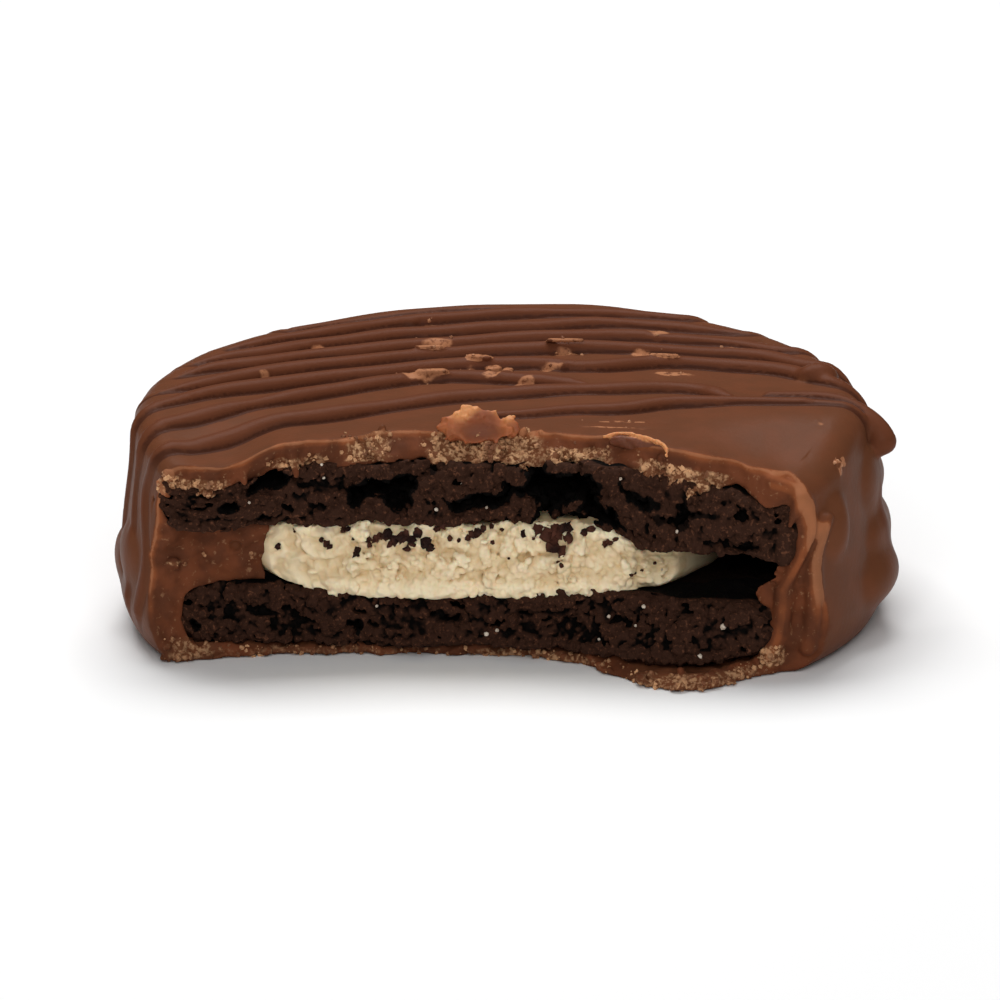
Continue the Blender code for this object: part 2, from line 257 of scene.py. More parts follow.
def breakDepth(curves, xs, zs):
    # how far forward the break lies: a curve across X for each of a few heights
    heights = [height for height, _ in curves]
    rows = []
    for _, places in curves:
        at = np.array([x for x, _ in places])
        depth = np.array([y for _, y in places])
        row = np.interp(xs, at, depth)
        pad = np.pad(row, 6, mode="edge")
        spread = np.hanning(13)
        rows.append(np.convolve(pad, spread / spread.sum(), mode="valid"))
    rows = np.array(rows)
    depth = np.empty((len(xs), len(zs)), dtype=np.float32)
    for column in range(len(xs)):
        depth[column] = np.interp(zs, heights, rows[:, column])
    return depth


def smoothStep(value, low, high):
    t = np.clip((value - low) / (high - low), 0, 1)
    return t * t * (3 - 2 * t)


# How far the front sank towards +X: a curve across X for the top, the middle and the bottom of
# the upper wafer's side.
sagCurves = [
    (5.2, [(0, 0), (30, 0)]),
    (8.6, [(6.3, 0), (8.2, 0.6), (9.4, 1.05), (10.7, 1.2), (12.3, 1.3), (14.7, 1.7), (17.5, 1.75),
           (19.2, 1.35), (22, 0.9)]),
    (12.0, [(8.5, 0), (10.7, 0.35), (12.3, 0.8), (15, 0.95), (16, 1.4), (17, 1.75), (18.8, 1.8),
            (22, 1.4)]),
    (13.8, [(8.5, 0), (11, 0), (13, 0.35), (14.5, 0.85), (15.7, 1.2), (17.7, 1.75), (19.3, 1.8),
            (22, 1.6)]),
]


def settle(points):
    # both front corners of the top gave way a little when the cookie broke
    x, y, z = points[:, 0], points[:, 1], points[:, 2]
    front = smoothStep(-y, 4.0, 10.5)
    left = smoothStep(-x, 11.5, 15.5) * (1 - 0.55 * smoothStep(-x, 17.3, 20.0)) * 1.2
    left *= smoothStep(z, 8.0, 13.0)
    right = np.zeros(len(points))
    for (low, below), (high, above) in zip(sagCurves[:-1], sagCurves[1:]):
        below = np.interp(x, *zip(*below))
        above = np.interp(x, *zip(*above))
        share = np.clip((z - low) / (high - low), 0, 1)
        inside = (z >= low) & ((z < high) | (high > 13.5))
        right = np.where(inside, below + (above - below) * share, right)
    # the back of the top falls away a little towards +X
    back = smoothStep(y, -3.0, 4.0) * smoothStep(z, 6.0, 12.5)
    back *= 0.6 * smoothStep(x, 3.0, 17.0) + 0.5 * smoothStep(x, 19.5, 22.5)
    moved = points.copy()
    moved[:, 2] -= front * (left + right) + back
    return moved


def surfaceOf(field, axes, thin, name):
    # the zero surface of a field as an object, thinned to a count of triangles
    for axis in range(3):
        for end in (0, -1):
            face = [slice(None)] * 3
            face[axis] = end
            field[tuple(face)] = np.maximum(field[tuple(face)], 0.1)
    grid = openvdb.FloatGrid(1.0)
    grid.copyFromArray(np.ascontiguousarray(np.clip(field, -1.0, 1.0), dtype=np.float32))
    places, quads = grid.convertToQuads(0.0)
    points = np.empty((len(places), 3))
    for axis, line in enumerate(axes):
        points[:, axis] = np.interp(places[:, axis], np.arange(len(line)), line)
    triangles = np.concatenate([quads[:, [0, 1, 2]], quads[:, [0, 2, 3]]])
    corners = points[triangles]
    volume = np.einsum("ij,ij->i", corners[:, 0], np.cross(corners[:, 1], corners[:, 2])).sum()
    if volume < 0:
        quads = quads[:, ::-1]
    mesh = bpy.data.meshes.new(name)
    mesh.vertices.add(len(points))
    mesh.vertices.foreach_set("co", points.astype(np.float32).ravel())
    mesh.loops.add(quads.size)
    mesh.loops.foreach_set("vertex_index", np.ascontiguousarray(quads, dtype=np.int32).ravel())
    mesh.polygons.add(len(quads))
    mesh.polygons.foreach_set("loop_start", np.arange(0, quads.size, 4, dtype=np.int32))
    mesh.update(calc_edges=True)
    mesh.validate()
    piece = bpy.data.objects.new(name, mesh)
    bpy.context.scene.collection.objects.link(piece)
    full = 2 * len(quads)
    if full > thin:
        fewer = piece.modifiers.new("Fewer", "DECIMATE")
        fewer.ratio = thin / full
        graph = bpy.context.evaluated_depsgraph_get()
        thinned = bpy.data.meshes.new_from_object(piece.evaluated_get(graph))
        piece.modifiers.clear()
        piece.data = thinned
        bpy.data.meshes.remove(mesh)
        thinned.name = name
    dropBits(piece)
    return piece


def dropBits(piece):
    # small pieces that hang in the air are removed
    mesh = piece.data
    edges = np.empty(len(mesh.edges) * 2, dtype=np.int64)
    mesh.edges.foreach_get("vertices", edges)
    edges = edges.reshape(-1, 2)
    label = np.arange(len(mesh.vertices))
    while True:
        low = np.minimum(label[edges[:, 0]], label[edges[:, 1]])
        fresh = label.copy()
        np.minimum.at(fresh, edges[:, 0], low)
        np.minimum.at(fresh, edges[:, 1], low)
        fresh = fresh[fresh]
        if (fresh == label).all():
            break
        label = fresh
    names, counts = np.unique(label, return_counts=True)
    keep = names[np.argmax(counts)]
    loose = label != keep
    if loose.any():
        tidy = bmesh.new()
        tidy.from_mesh(mesh)
        tidy.verts.ensure_lookup_table()
        bmesh.ops.delete(tidy, geom=[tidy.verts[i] for i in np.nonzero(loose)[0]], context="VERTS")
        tidy.to_mesh(mesh)
        tidy.free()


def pointsOf(mesh):
    points = np.empty(len(mesh.vertices) * 3, dtype=np.float64)
    mesh.vertices.foreach_get("co", points)
    return points.reshape(-1, 3)


def addValue(mesh, name, values):
    attribute = mesh.attributes.new(name, "FLOAT", "POINT")
    attribute.data.foreach_set("value", np.asarray(values, dtype=np.float32))


def place(piece):
    # from millimetres round the disc's axis to the frame
    mesh = piece.data
    points = settle(pointsOf(mesh))
    points = (points + np.array([axisX, axisY, 0.0])) * mm
    mesh.vertices.foreach_set("co", points.astype(np.float32).ravel())
    mesh.shade_smooth()
    mesh.update()
    return piece


def readField(field, axes, points):
    # the value of a field at loose points
    where = [np.interp(points[:, axis], line, np.arange(len(line))) for axis, line in enumerate(axes)]
    base = [np.clip(w.astype(int), 0, len(line) - 2) for w, line in zip(where, axes)]
    share = [w - b for w, b in zip(where, base)]
    value = np.zeros(len(points))
    for corner in range(8):
        bits = [(corner >> axis) & 1 for axis in range(3)]
        weight = np.ones(len(points))
        for bit, part in zip(bits, share):
            weight = weight * (part if bit else 1 - part)
        value += weight * field[base[0] + bits[0], base[1] + bits[1], base[2] + bits[2]]
    return value


def smoothLine(points, step):
    # points a step apart on a smooth curve through the given ones
    points = [np.array(point, dtype=float) for point in points]
    padded = [2 * points[0] - points[1]] + points + [2 * points[-1] - points[-2]]
    line = []
    for index in range(1, len(padded) - 2):
        before, start, end, after = padded[index - 1:index + 3]
        count = max(2, round(float(np.linalg.norm(end - start)) / step))
        for part in range(count):
            t = part / count
            line.append(0.5 * (2 * start + (end - before) * t
                               + (2 * before - 5 * start + 4 * end - after) * t ** 2
                               + (3 * start - before - 3 * end + after) * t ** 3))
    line.append(points[-1])
    return line


# The coating

coat = {
    "middle": 0.2,
    "topRadius": 20.7,
    "rimRound": 1.7,
    "rimLastAngle": math.radians(8),
    "footRadius": 23.4,
    "footHeight": 3.0,
    "baseRadius": 21.5,
    "sink": 0.2,
    "flankSink": 0.48,
    "leftRimSink": 0.42,
    "strandShare": 0.73,
    "drift": 1.6,
    "step": 0.45,
    "strandBlend": 0.13,
    "betweenStrands": 0.08,
    "breakRound": 0.16,
    "triangles": 190000,
}

# Each ridge of drizzle: its crest from above, its radius, and where it ends on either flank.
strands = [
    ([(-1.0, -6.4), (3.7, -4.5), (8.0, -3.6), (12.0, -2.0), (18.6, -2.0)], 0.95, None, 1.6),
    ([(-18.5, -9.6), (-14.9, -7.9), (-9.3, -5.4), (-2.0, -1.6), (5.5, 0.2), (11.6, 1.6),
      (14.0, -0.4)], 1.15, 1.6, None),
    ([(-19.6, -7.0), (-15.8, -4.5), (-10.7, -0.7), (-4.0, 3.0), (1.5, 2.4), (5.5, 1.2)],
     1.05, 1.8, None),
    ([(-20.4, -3.6), (-16.4, -0.4), (-10.7, 2.7), (-4.5, 5.4), (1.0, 6.2), (4.5, 5.6),
      (9.0, 7.6), (15.0, 7.8), (20.0, 5.2)], 1.05, 3.5, 9.5),
    ([(-20.6, -0.4), (-17.1, 1.9), (-13.0, 4.8), (-5.0, 8.2), (2.0, 9.9), (9.0, 10.6),
      (15.0, 10.4), (18.4, 8.6)], 1.0, 2.5, 6.0),
    ([(-20.3, 3.0), (-17.1, 5.1), (-9.8, 8.9), (-3.3, 11.2), (4.0, 13.0), (11.0, 13.2),
      (16.4, 12.0)], 1.0, 4.5, 4.0),
    ([(-19.3, 6.4), (-15.0, 8.6), (-8.5, 12.4), (-0.7, 14.7), (6.0, 16.0), (13.6, 15.3)],
     1.0, 3.0, 7.0),
    ([(-17.6, 9.8), (-13.1, 12.6), (-6.9, 16.2), (1.0, 18.3), (9.6, 18.0)], 0.95, 6.0, 5.0),
    ([(-14.2, 14.4), (-8.0, 18.3), (-1.0, 20.3)], 0.9, 4.0, None),
]

# Two more cross the side at the back: direction in degrees and height.
backRuns = [
    ([(136, 12.6), (126, 10.9), (110, 9.4), (94, 8.9), (78, 9.4), (64, 10.8), (54, 12.4)], 0.95),
    ([(132, 8.2), (118, 6.1), (101, 5.2), (84, 5.0), (70, 5.9), (60, 7.6)], 0.85),
]

drip = [(16.5, 1.0, 13.4), (19.3, 0.3, 13.5), (21.0, -0.5, 13.4), (22.3, -1.2, 12.8),
        (23.1, -1.8, 12.1), (23.4, -2.1, 11.6)]

# Folds and teeth of chocolate on the break: points with a radius each.
folds = [
    ([(14.5, -11.6, 13.7), (15.3, -11.9, 13.0), (15.9, -12.1, 11.7), (16.3, -12.1, 11.0)], 0.42, 0.14, 0.3),
    ([(18.9, -11.9, 12.6), (18.6, -12.0, 11.7), (18.3, -12.1, 10.9)], 0.4, 0.14, 0.3),
    ([(-11.3, -11.1, 13.2), (-11.1, -11.4, 12.4), (-11.0, -11.5, 11.8)], 0.42, 0.16, 0.3),
    ([(-14.2, -11.8, 12.9), (-14.0, -12.0, 12.2)], 0.36, 0.14, 0.3),
    ([(7.6, -10.5, 12.9), (7.8, -10.8, 12.1)], 0.3, 0.12, 0.3),
    ([(17.3, -11.3, 13.2), (18.1, -11.4, 13.1), (18.9, -11.5, 12.6), (19.35, -11.5, 11.6),
      (19.5, -11.5, 10.3), (19.1, -11.6, 9.0), (18.5, -11.7, 7.2), (17.95, -11.85, 5.4),
      (17.85, -12.0, 4.0), (17.6, -12.1, 2.4), (17.0, -12.2, 1.2)], 0.44, 0.56, 0.4),
    ([(20.4, -10.7, 10.6), (20.0, -11.1, 9.4), (19.6, -11.4, 7.8), (19.65, -11.6, 5.5),
      (19.65, -11.7, 3.6), (19.3, -11.8, 1.6)], 0.42, 0.5, 0.4),
]
crease = [(20.0, -11.5, 11.6), (20.05, -11.6, 10.0), (19.55, -11.8, 8.75), (18.8, -12.05, 6.2),
          (18.75, -12.2, 4.0), (18.65, -12.3, 2.1)]

coatBreak = [
    (0.0, [(-25, -11.4), (-19, -11.2), (-17, -10.6), (-15, -10.1), (-12, -9.7), (-8, -9.5),
           (0, -9.2), (3, -9.6), (5, -10.6), (7, -12.2), (8.6, -13.7), (10.2, -15.2),
           (11.8, -15.9), (13.4, -15.7), (15, -14.6), (16.6, -12.9), (18.2, -12), (20, -11.5),
           (25, -11)]),
    (1.0, [(-25, -11.6), (-20, -11.6), (-18, -10.9), (-16, -10), (-12, -9.6), (0, -9.4),
           (3, -9.4), (5, -10), (7, -11), (8.6, -12.2), (10.2, -13.2), (11.8, -14),
           (13.4, -14), (15, -13.4), (16.6, -12.6), (18.2, -12), (20, -11.6), (25, -11)]),
    (4.6, [(-25, -11.8), (-20, -11.6), (-18.4, -11), (-17, -10.1), (-13.5, -9.6), (0, -9.8),
           (10, -11), (16.6, -12.1), (18.2, -12), (20, -11.4), (25, -11)]),
    (8.6, [(-25, -11.8), (-20, -11.6), (-18.4, -11.2), (-17, -10.6), (-13.5, -10), (0, -10.3),
           (10, -11.4), (16.6, -11.9), (18.2, -11.8), (20, -11.4), (25, -11)]),
    (12.3, [(-25, -11.8), (-19.5, -11.8), (-15, -11.7), (-12, -11.2), (-8, -10.4), (-3, -10),
            (3, -9.9), (7, -10.2), (10.2, -10.9), (13.4, -11.5), (18.2, -11.8), (20, -11.5),
            (25, -11)]),
    (13.8, [(-25, -11.8), (-19.5, -11.9), (-18, -12.2), (-16.5, -12.5), (-15, -12.4),
            (-13.5, -11.8), (-12, -11.2), (-10, -10.5), (-8, -9.4), (-6, -9), (-3, -8.8),
            (0, -8.2), (3, -8.9), (7, -9.1), (8.6, -9.3), (10.2, -10.2), (11.8, -11),
            (13.4, -11), (16.6, -10.9), (18.2, -11.3), (20, -11.5), (25, -11)]),
]


# Where the broken chocolate is crumbly and tan: middle and half width in X, from and to in
# height, and how much.
crumbBands = [
    (0.1, 3.3, 11.6, 15.8, 1.0), (-17.3, 2.3, 11.2, 12.9, 0.9), (-6.9, 1.3, 12.4, 13.9, 0.9),
    (-11.0, 2.0, 12.2, 12.9, 0.5), (5.4, 2.4, 12.1, 13.1, 0.7), (12.0, 2.9, 11.2, 12.9, 0.85),
    (13.0, 4.5, -0.3, 0.8, 0.5), (-10.0, 9.5, -0.3, 0.7, 0.35), (3.0, 5.0, -0.3, 0.6, 0.5),
    (17.2, 0.8, 0.6, 1.9, 0.8), (-18.5, 0.6, 6.05, 6.3, 0.6), (-16.8, 0.3, 6.4, 6.6, 0.5),
    (-14.0, 0.3, 5.9, 6.6, 0.4), (-17.6, 1.6, 0.2, 1.6, 0.5),
]


def crumbShare(across, height):
    share = np.zeros(np.broadcast(across, height).shape)
    for middle, width, low, high, most in crumbBands:
        band = smoothStep(height, low - 0.15, low + 0.15) * smoothStep(-height, -high - 0.15, -high + 0.15)
        share = np.maximum(share, most * band * np.exp(-((across - middle) / width) ** 4))
    return share


# Scuffs on the top where the ridges lost small chips: place, half sizes, and how much.
scuffs = [
    (-5.2, 2.4, 1.4, 0.5, 1.0), (-2.3, 4.6, 1.6, 0.7, 0.9), (-0.6, 2.7, 0.7, 0.4, 0.9),
    (-12.0, 9.6, 0.9, 0.5, 0.7), (-4.7, 10.2, 1.3, 0.6, 0.7), (3.4, 9.3, 1.1, 0.5, 0.8),
    (8.1, 9.6, 0.8, 0.5, 1.0), (3.0, 5.3, 1.2, 0.4, 0.8), (10.2, 5.9, 1.3, 0.4, 0.8),
    (1.5, 1.7, 0.6, 0.3, 0.8), (-6.0, 15.4, 1.2, 0.6, 0.6), (9.0, 13.4, 1.0, 0.5, 0.6),
    (-14.5, 3.0, 0.7, 0.4, 0.5), (13.5, 10.8, 0.9, 0.4, 0.5), (7.7, -6.0, 3.1, 0.12, 0.8),
    (7.6, -7.3, 3.0, 0.1, 0.8), (19.6, -5.6, 0.8, 0.5, 0.7),
]


# Thin chips that stick to the top and the shoulder: place, half sizes, and turn in degrees.
topChips = [
    ((-4.3, 2.7, 14.35), (1.0, 0.28, 0.14), 6), ((-1.7, 5.9, 14.4), (0.8, 0.3, 0.16), -20),
    ((-0.7, 4.6, 14.0), (0.5, 0.4, 0.2), 30), ((0.3, 3.4, 14.2), (0.35, 0.3, 0.18), 70),
    ((8.1, 9.5, 14.5), (0.7, 0.35, 0.16), -8), ((3.3, 9.6, 14.5), (1.2, 0.2, 0.12), 4),
    ((9.6, 7.7, 14.4), (0.9, 0.16, 0.1), 2), ((-5.0, 8.2, 14.4), (0.9, 0.2, 0.1), 8),
    ((20.85, -8.1, 12.65), (0.34, 0.2, 0.5), -24), ((21.15, -7.5, 12.5), (0.14, 0.2, 0.42), -24),
    ((20.35, -10.55, 9.0), (0.12, 0.12, 0.4), -40), ((21.4, -8.9, 9.6), (0.16, 0.12, 0.14), -30),
]


def coatOutline():
    points = [(0.0, levels["coatTop"])]
    for angle in np.linspace(math.pi / 2, coat["rimLastAngle"], 16):
        points.append((coat["topRadius"] + coat["rimRound"] * math.cos(angle),
                       levels["coatTop"] - coat["rimRound"] + coat["rimRound"] * math.sin(angle)))
    for angle in np.linspace(0.0, math.pi / 2, 16):
        points.append((coat["baseRadius"] + (coat["footRadius"] - coat["baseRadius"]) * math.cos(angle),
                       coat["footHeight"] - coat["footHeight"] * math.sin(angle)))
    points.append((0.0, 0.0))
    return points


coatLine = np.array(coatOutline())
coatRun = np.concatenate([[0.0], np.cumsum(np.linalg.norm(np.diff(coatLine, axis=0), axis=1))])


def onSkin(angle, distance, sink):
    # a place on the coating, by its direction from the axis and the way along the outline
    radius, height = [float(np.interp(distance, coatRun, coatLine[:, side])) for side in (0, 1)]
    before = [float(np.interp(distance - 0.6, coatRun, coatLine[:, side])) for side in (0, 1)]
    after = [float(np.interp(distance + 0.6, coatRun, coatLine[:, side])) for side in (0, 1)]
    along = np.array(after) - np.array(before)
    along = along / np.linalg.norm(along)
    radius += along[1] * sink
    height -= along[0] * sink
    return np.array([coat["middle"] + radius * math.cos(angle), radius * math.sin(angle), height])


def skinDistance(height):
    flank = coatLine[:, 1] < levels["coatTop"] - 0.01
    return float(np.interp(-height, -coatLine[flank, 1], coatRun[flank]))


def flankRun(spot, inner, endHeight, radius, rng):
    angle = math.atan2(spot[1], spot[0])
    start = float(np.hypot(spot[0], spot[1]))
    end = skinDistance(endHeight)
    heading = (spot - inner) / np.linalg.norm(spot - inner)
    sideways = float(heading[1] * math.cos(angle) - heading[0] * math.sin(angle))
    count = max(4, round((end - start) / coat["step"]))
    swing, phase = rng.uniform(0.25, 0.5), rng.uniform(0, 6.28)
    run = []
    for part in range(1, count + 1):
        travelled = (end - start) * part / count
        slip = sideways * coat["drift"] * (1.0 - math.exp(-travelled / coat["drift"]))
        slip += swing * (math.sin(travelled * 0.75 + phase) - math.sin(phase)) * min(travelled / 4, 1)
        rimShare = rimSink(*spot)
        deeper = rimShare + min(travelled / 4, 1) * (coat["flankSink"] - rimShare)
        run.append(onSkin(angle + slip / start, start + travelled, deeper * radius))
    return run


def rimSink(x, y):
    # ridges are flattest where they cross the rim at the back left
    return 0.34 if x > 0 else coat["leftRimSink"] + 0.22 * float(smoothStep(y, -3.0, 3.0))


def strandLine(crest, radius, leftEnd, rightEnd, rng):
    crest = [np.array(point) for point in crest]
    plan = smoothLine(crest, coat["step"])
    top = []
    for x, y in plan:
        reach = math.hypot(x, y)
        low = rimSink(x, y) - coat["sink"]
        share = coat["sink"] + low * float(smoothStep(reach, 18.5, 21.5))
        top.append(onSkin(math.atan2(y, x - coat["middle"]), math.hypot(x - coat["middle"], y), share * radius))
    left = flankRun(crest[0], crest[1], leftEnd, radius, rng) if leftEnd else []
    right = flankRun(crest[-1], crest[-2], rightEnd, radius, rng) if rightEnd else []
    points = np.array(left[::-1] + top + right)
    count = len(points)
    along = np.arange(count) * coat["step"]
    wander = sum(rng.uniform(0.02, 0.07) * np.sin(along / rng.uniform(0.8, 2.6) + rng.uniform(0, 6.28))
                 for _ in range(3))
    points[:, 1] += wander
    thick = coat["strandShare"] * radius * (1 + sum(rng.uniform(0.01, 0.05)
                              * np.sin(along / rng.uniform(0.7, 3.0) + rng.uniform(0, 6.28))
                              for _ in range(3)))
    fade = np.minimum(along + 0.3, along[::-1] + 0.3)
    thick = thick * np.clip(0.62 + fade * 0.25, 0, 1)
    # thinner near the rim at the back left
    reach = np.hypot(points[:, 0], points[:, 1])
    thick = thick * (1 - 0.26 * smoothStep(reach, 17, 21) * smoothStep(points[:, 1], -5, 0)
                     * smoothStep(-points[:, 0], -2, 3))
    return points, thick


def buildCoating():
    fine = 0.125
    axes = (gridLine(-25.6, 25.6, -25.6, 25.6, fine, fine),
            gridLine(-17.2, 25.2, -17.2, -7.0, fine, fine * 1.35),
            gridLine(-0.9, 16.9, -0.9, 16.9, fine, fine))
    rng = np.random.default_rng(11)
    body = turnedField(coatOutline(), axes, (coat["middle"], 0.0))
    body += 0.07 * roughField(axes, 6.0, 1) + 0.02 * roughField(axes, 2.2, 2)

    ropes = np.full(body.shape, 3.0, dtype=np.float32)
    for crest, radius, leftEnd, rightEnd in strands:
        points, thick = strandLine(crest, radius, leftEnd, rightEnd, rng)
        part, near = ropeDistance(axes, points, thick, 1.2)
        ropes[part] = softMin(ropes[part], near, coat["betweenStrands"])
    for run, radius in backRuns:
        line = [onSkin(math.radians(turn), skinDistance(height), 0.35 * radius)
                for turn, height in smoothLine(run, 3.0)]
        line = smoothLine(line, 0.45)
        ends = np.minimum(np.arange(len(line)), np.arange(len(line))[::-1])
        part, near = ropeDistance(axes, np.array(line), 0.76 * radius * np.clip(0.45 + 0.08 * ends, 0, 1), 1.2)
        ropes[part] = softMin(ropes[part], near, coat["betweenStrands"])
    dripLine = smoothLine(drip, 0.4)
    swell = np.linspace(0, 1, len(dripLine))
    addRope(ropes, axes, dripLine, 0.72 + 0.12 * swell, 0.2)
    # a fine groove along the front foot of each ridge, whose value also marks the painted shade in that crease
    ahead = np.zeros_like(ropes)
    ahead[:, :-1] = (ropes[:, :-1] - ropes[:, 1:]) / np.diff(axes[1])[None, :, None]
    grooveAndShade = np.clip(ahead * 1.6, 0, 1) * np.exp(-(body ** 2 + ropes ** 2) / 0.03)
    skin = body
    body = softMin(body, ropes, coat["strandBlend"]) + 0.07 * grooveAndShade
    ridge = skin - ropes

    for centre, radii, angle, blend in [
        ((-21.5, -7.3, 5.6), (0.8, 2.2, 1.8), 18, 0.5), ((-22.6, -3.4, 4.4), (0.7, 1.8, 1.5), 7, 0.5),
        ((20.7, -9.3, 9.2), (0.95, 1.1, 2.0), -24, 0.9), ((22.8, -1.6, 5.9), (1.0, 3.2, 1.6), -3, 1.0),
        ((22.9, -3.2, 3.6), (1.4, 3.2, 1.5), -8, 1.0), ((22.5, -3.0, 9.3), (0.7, 1.8, 1.9), -8, 0.8),
        ((22.3, 3.5, 8.6), (0.9, 2.6, 1.6), 9, 0.7), ((19.1, 6.0, 13.9), (1.3, 0.9, 0.85), 14, 0.25),
        ((14.6, 13.4, 13.85), (0.8, 0.5, 0.42), 30, 0.3),
    ]:
        addLump(body, axes, centre, radii, turnAbout("Z", angle), blend)

    top = slice(int(np.searchsorted(axes[2], 12.6)), None)
    plan = np.zeros((len(axes[0]), len(axes[1])), dtype=np.float32)
    for spotX, spotY, longWay, shortWay, share in scuffs:
        away = ((axes[0][:, None] - spotX) / longWay) ** 2 + ((axes[1][None, :] - spotY) / shortWay) ** 2
        plan = np.maximum(plan, share * np.exp(-away))
    upper = (axes[0], axes[1], axes[2][top])
    body[:, :, top] += plan[:, :, None] * (0.08 * roughField(upper, 0.4, 8) + 0.03)
    for centre, radii, turn in topChips:
        addChip(body, axes, centre, radii, turnAbout("Z", turn), 0.05)

    pocket = turnedField(discOutline(waferRadius + 0.2, levels["topLow"] - 0.05,
                                     levels["topHigh"] - 0.14, 0.4), axes)
    pocket = np.minimum(pocket, turnedField(
        discOutline(waferRadius - 0.65, levels["bottomLow"] - 0.2, levels["bottomHigh"] + 0.1, 1.8), axes))
    pocket = np.minimum(pocket, turnedField(
        discOutline(15.1, levels["bottomHigh"] - 1, levels["topLow"] + 1, 0.6), axes, (-1.8, 0.3)))
    x, y, z = around(axes, (slice(None),) * 3, (0, 0, 0))
    # the hollow beside the filling, wider towards the top wafer
    side = np.hypot(x, y) - (20.0 + 1.2 * smoothStep(z, 4.9, 6.8))
    hollow = np.maximum(np.maximum(side, 5.0 - x), np.abs(z - 6.6) - 2.2)
    hollow = np.maximum(hollow, y - 1.5 + 0 * x)
    pocket = softMin(pocket, hollow.astype(np.float32), 0.3)
    pocket += 0.05 * roughField(axes, 1.3, 3)
    front = slice(0, int(np.searchsorted(axes[1], -6.0)))
    near = (axes[0], axes[1][front], axes[2])
    pocket[:, front, :] += 0.10 * roughField(near, 0.8, 12) + 0.08 * roughField(near, 0.4, 13)
    field = np.maximum(body, -pocket)
    floor = 0.04 - axes[2][None, None, :]

    depth = breakDepth(coatBreak, axes[0], axes[2])
    depth = depth + 0.16 * roughMap(axes[0], axes[2], 1.1, 4) + 0.10 * roughMap(axes[0], axes[2], 0.5, 5)
    cut = depth[:, None, :] - axes[1][None, :, None]
    patches = crumbShare(axes[0][:, None], axes[2][None, :])[:, None, :].astype(np.float32)
    grain = (0.05 + 0.14 * patches) * roughField(near, 0.4, 6)
    grain += (0.03 + 0.08 * patches) * roughField(near, 0.26, 7)
    cut[:, front, :] += grain
    field[:, front, :] = softMax(field[:, front, :], cut[:, front, :], coat["breakRound"])
    for line, first, last, blend in folds:
        line = smoothLine(line, 0.3)
        addRope(field, axes, line, np.linspace(first, last, len(line)), blend)
    part, near = ropeDistance(axes, smoothLine(crease, 0.3), 0.22, 0.8)
    field[part] = softMax(field[part], -near, 0.12)
    takeLump(field, axes, (-14.95, -10.3, 7.0), (0.4, 0.6, 0.38), straight, 0.1)
    # crumbs of chocolate that hang over the edge of the wafer
    for middle, width, low, high, share in crumbBands:
        for _ in range(int(width * share * 16)):
            spot = middle + rng.uniform(-width, width), rng.uniform(low - 0.1, high)
            y = float(np.interp(spot[1], axes[2], depth[int(np.searchsorted(axes[0], spot[0]))]))
            size = 0.14 + 0.2 * rng.random() ** 2
            addLump(field, axes, (spot[0], y + rng.uniform(-0.1, 0.25), max(spot[1], size + 0.1)),
                    (size * rng.uniform(0.8, 1.5), size, size * rng.uniform(0.6, 1.1)), anyTurn(rng), 0.1)

    field = softMax(field, floor + 0 * field, 0.05)
    piece = surfaceOf(field, axes, coat["triangles"], "milkCoating")
    points = pointsOf(piece.data)
    broken = readField(cut, axes, points)
    outer = readField(body, axes, points)
    broken = smoothStep(broken, -0.30, -0.04)
    addValue(piece.data, "broken", broken)
    # painted highlight: a pale orange line along the lip of the broken coating, and along the S-shaped crest on the
    # right wall
    rim = smoothStep(outer, -0.6, -0.05) * smoothStep(points[:, 2], 1.0, 5.0)
    crest = np.array(smoothLine(folds[5][0], 0.2))
    away = np.min(np.linalg.norm(points[:, None, (0, 2)][broken > 0.1] - crest[None][:, :, (0, 2)], axis=2), axis=1)
    rim[broken > 0.1] = np.maximum(rim[broken > 0.1], 0.75 - 0.75 * smoothStep(away, 0.1, 0.4))
    addValue(piece.data, "rim", broken * rim)
    across, height = points[:, 0], points[:, 2]
    addValue(piece.data, "crumbly", crumbShare(across, height) * broken)
    scuff = np.zeros(len(points))
    for spotX, spotY, longWay, shortWay, share in scuffs:
        away = ((points[:, 0] - spotX) / longWay) ** 2 + ((points[:, 1] - spotY) / shortWay) ** 2
        scuff = np.maximum(scuff, share * np.exp(-away * 1.2))
    scuff = scuff * smoothStep(height, 12.5, 13.6)
    for centre, radii, _ in topChips:
        away = np.linalg.norm((points - centre) / (np.array(radii) + 0.12), axis=1)
        scuff = np.maximum(scuff, 1 - smoothStep(away, 0.8, 1.15))
    addValue(piece.data, "scuffed", scuff * (1 - broken))
    # painted shade: the drizzle ridges are coloured darker and redder than the flat skin
    addValue(piece.data, "ridge", smoothStep(readField(ridge, axes, points), -0.05, 0.3) * (1 - broken))
    # painted shade: the crease at the front foot of each ridge is coloured darker, less so on the flank
    creaseShade = smoothStep(readField(grooveAndShade, axes, points), 0.12, 0.55) * (1 - broken)
    addValue(piece.data, "grooveAndShade", creaseShade * (0.35 + 0.65 * smoothStep(height, 12.0, 13.4)))
    print("coating:", len(piece.data.polygons), "faces")
    return piece


# The wafers

wafer = {
    "fine": 0.08,
    "triangles": 190000,
    "grains": 5600,
    "fineGrains": 7000,
    "pores": 90,
}

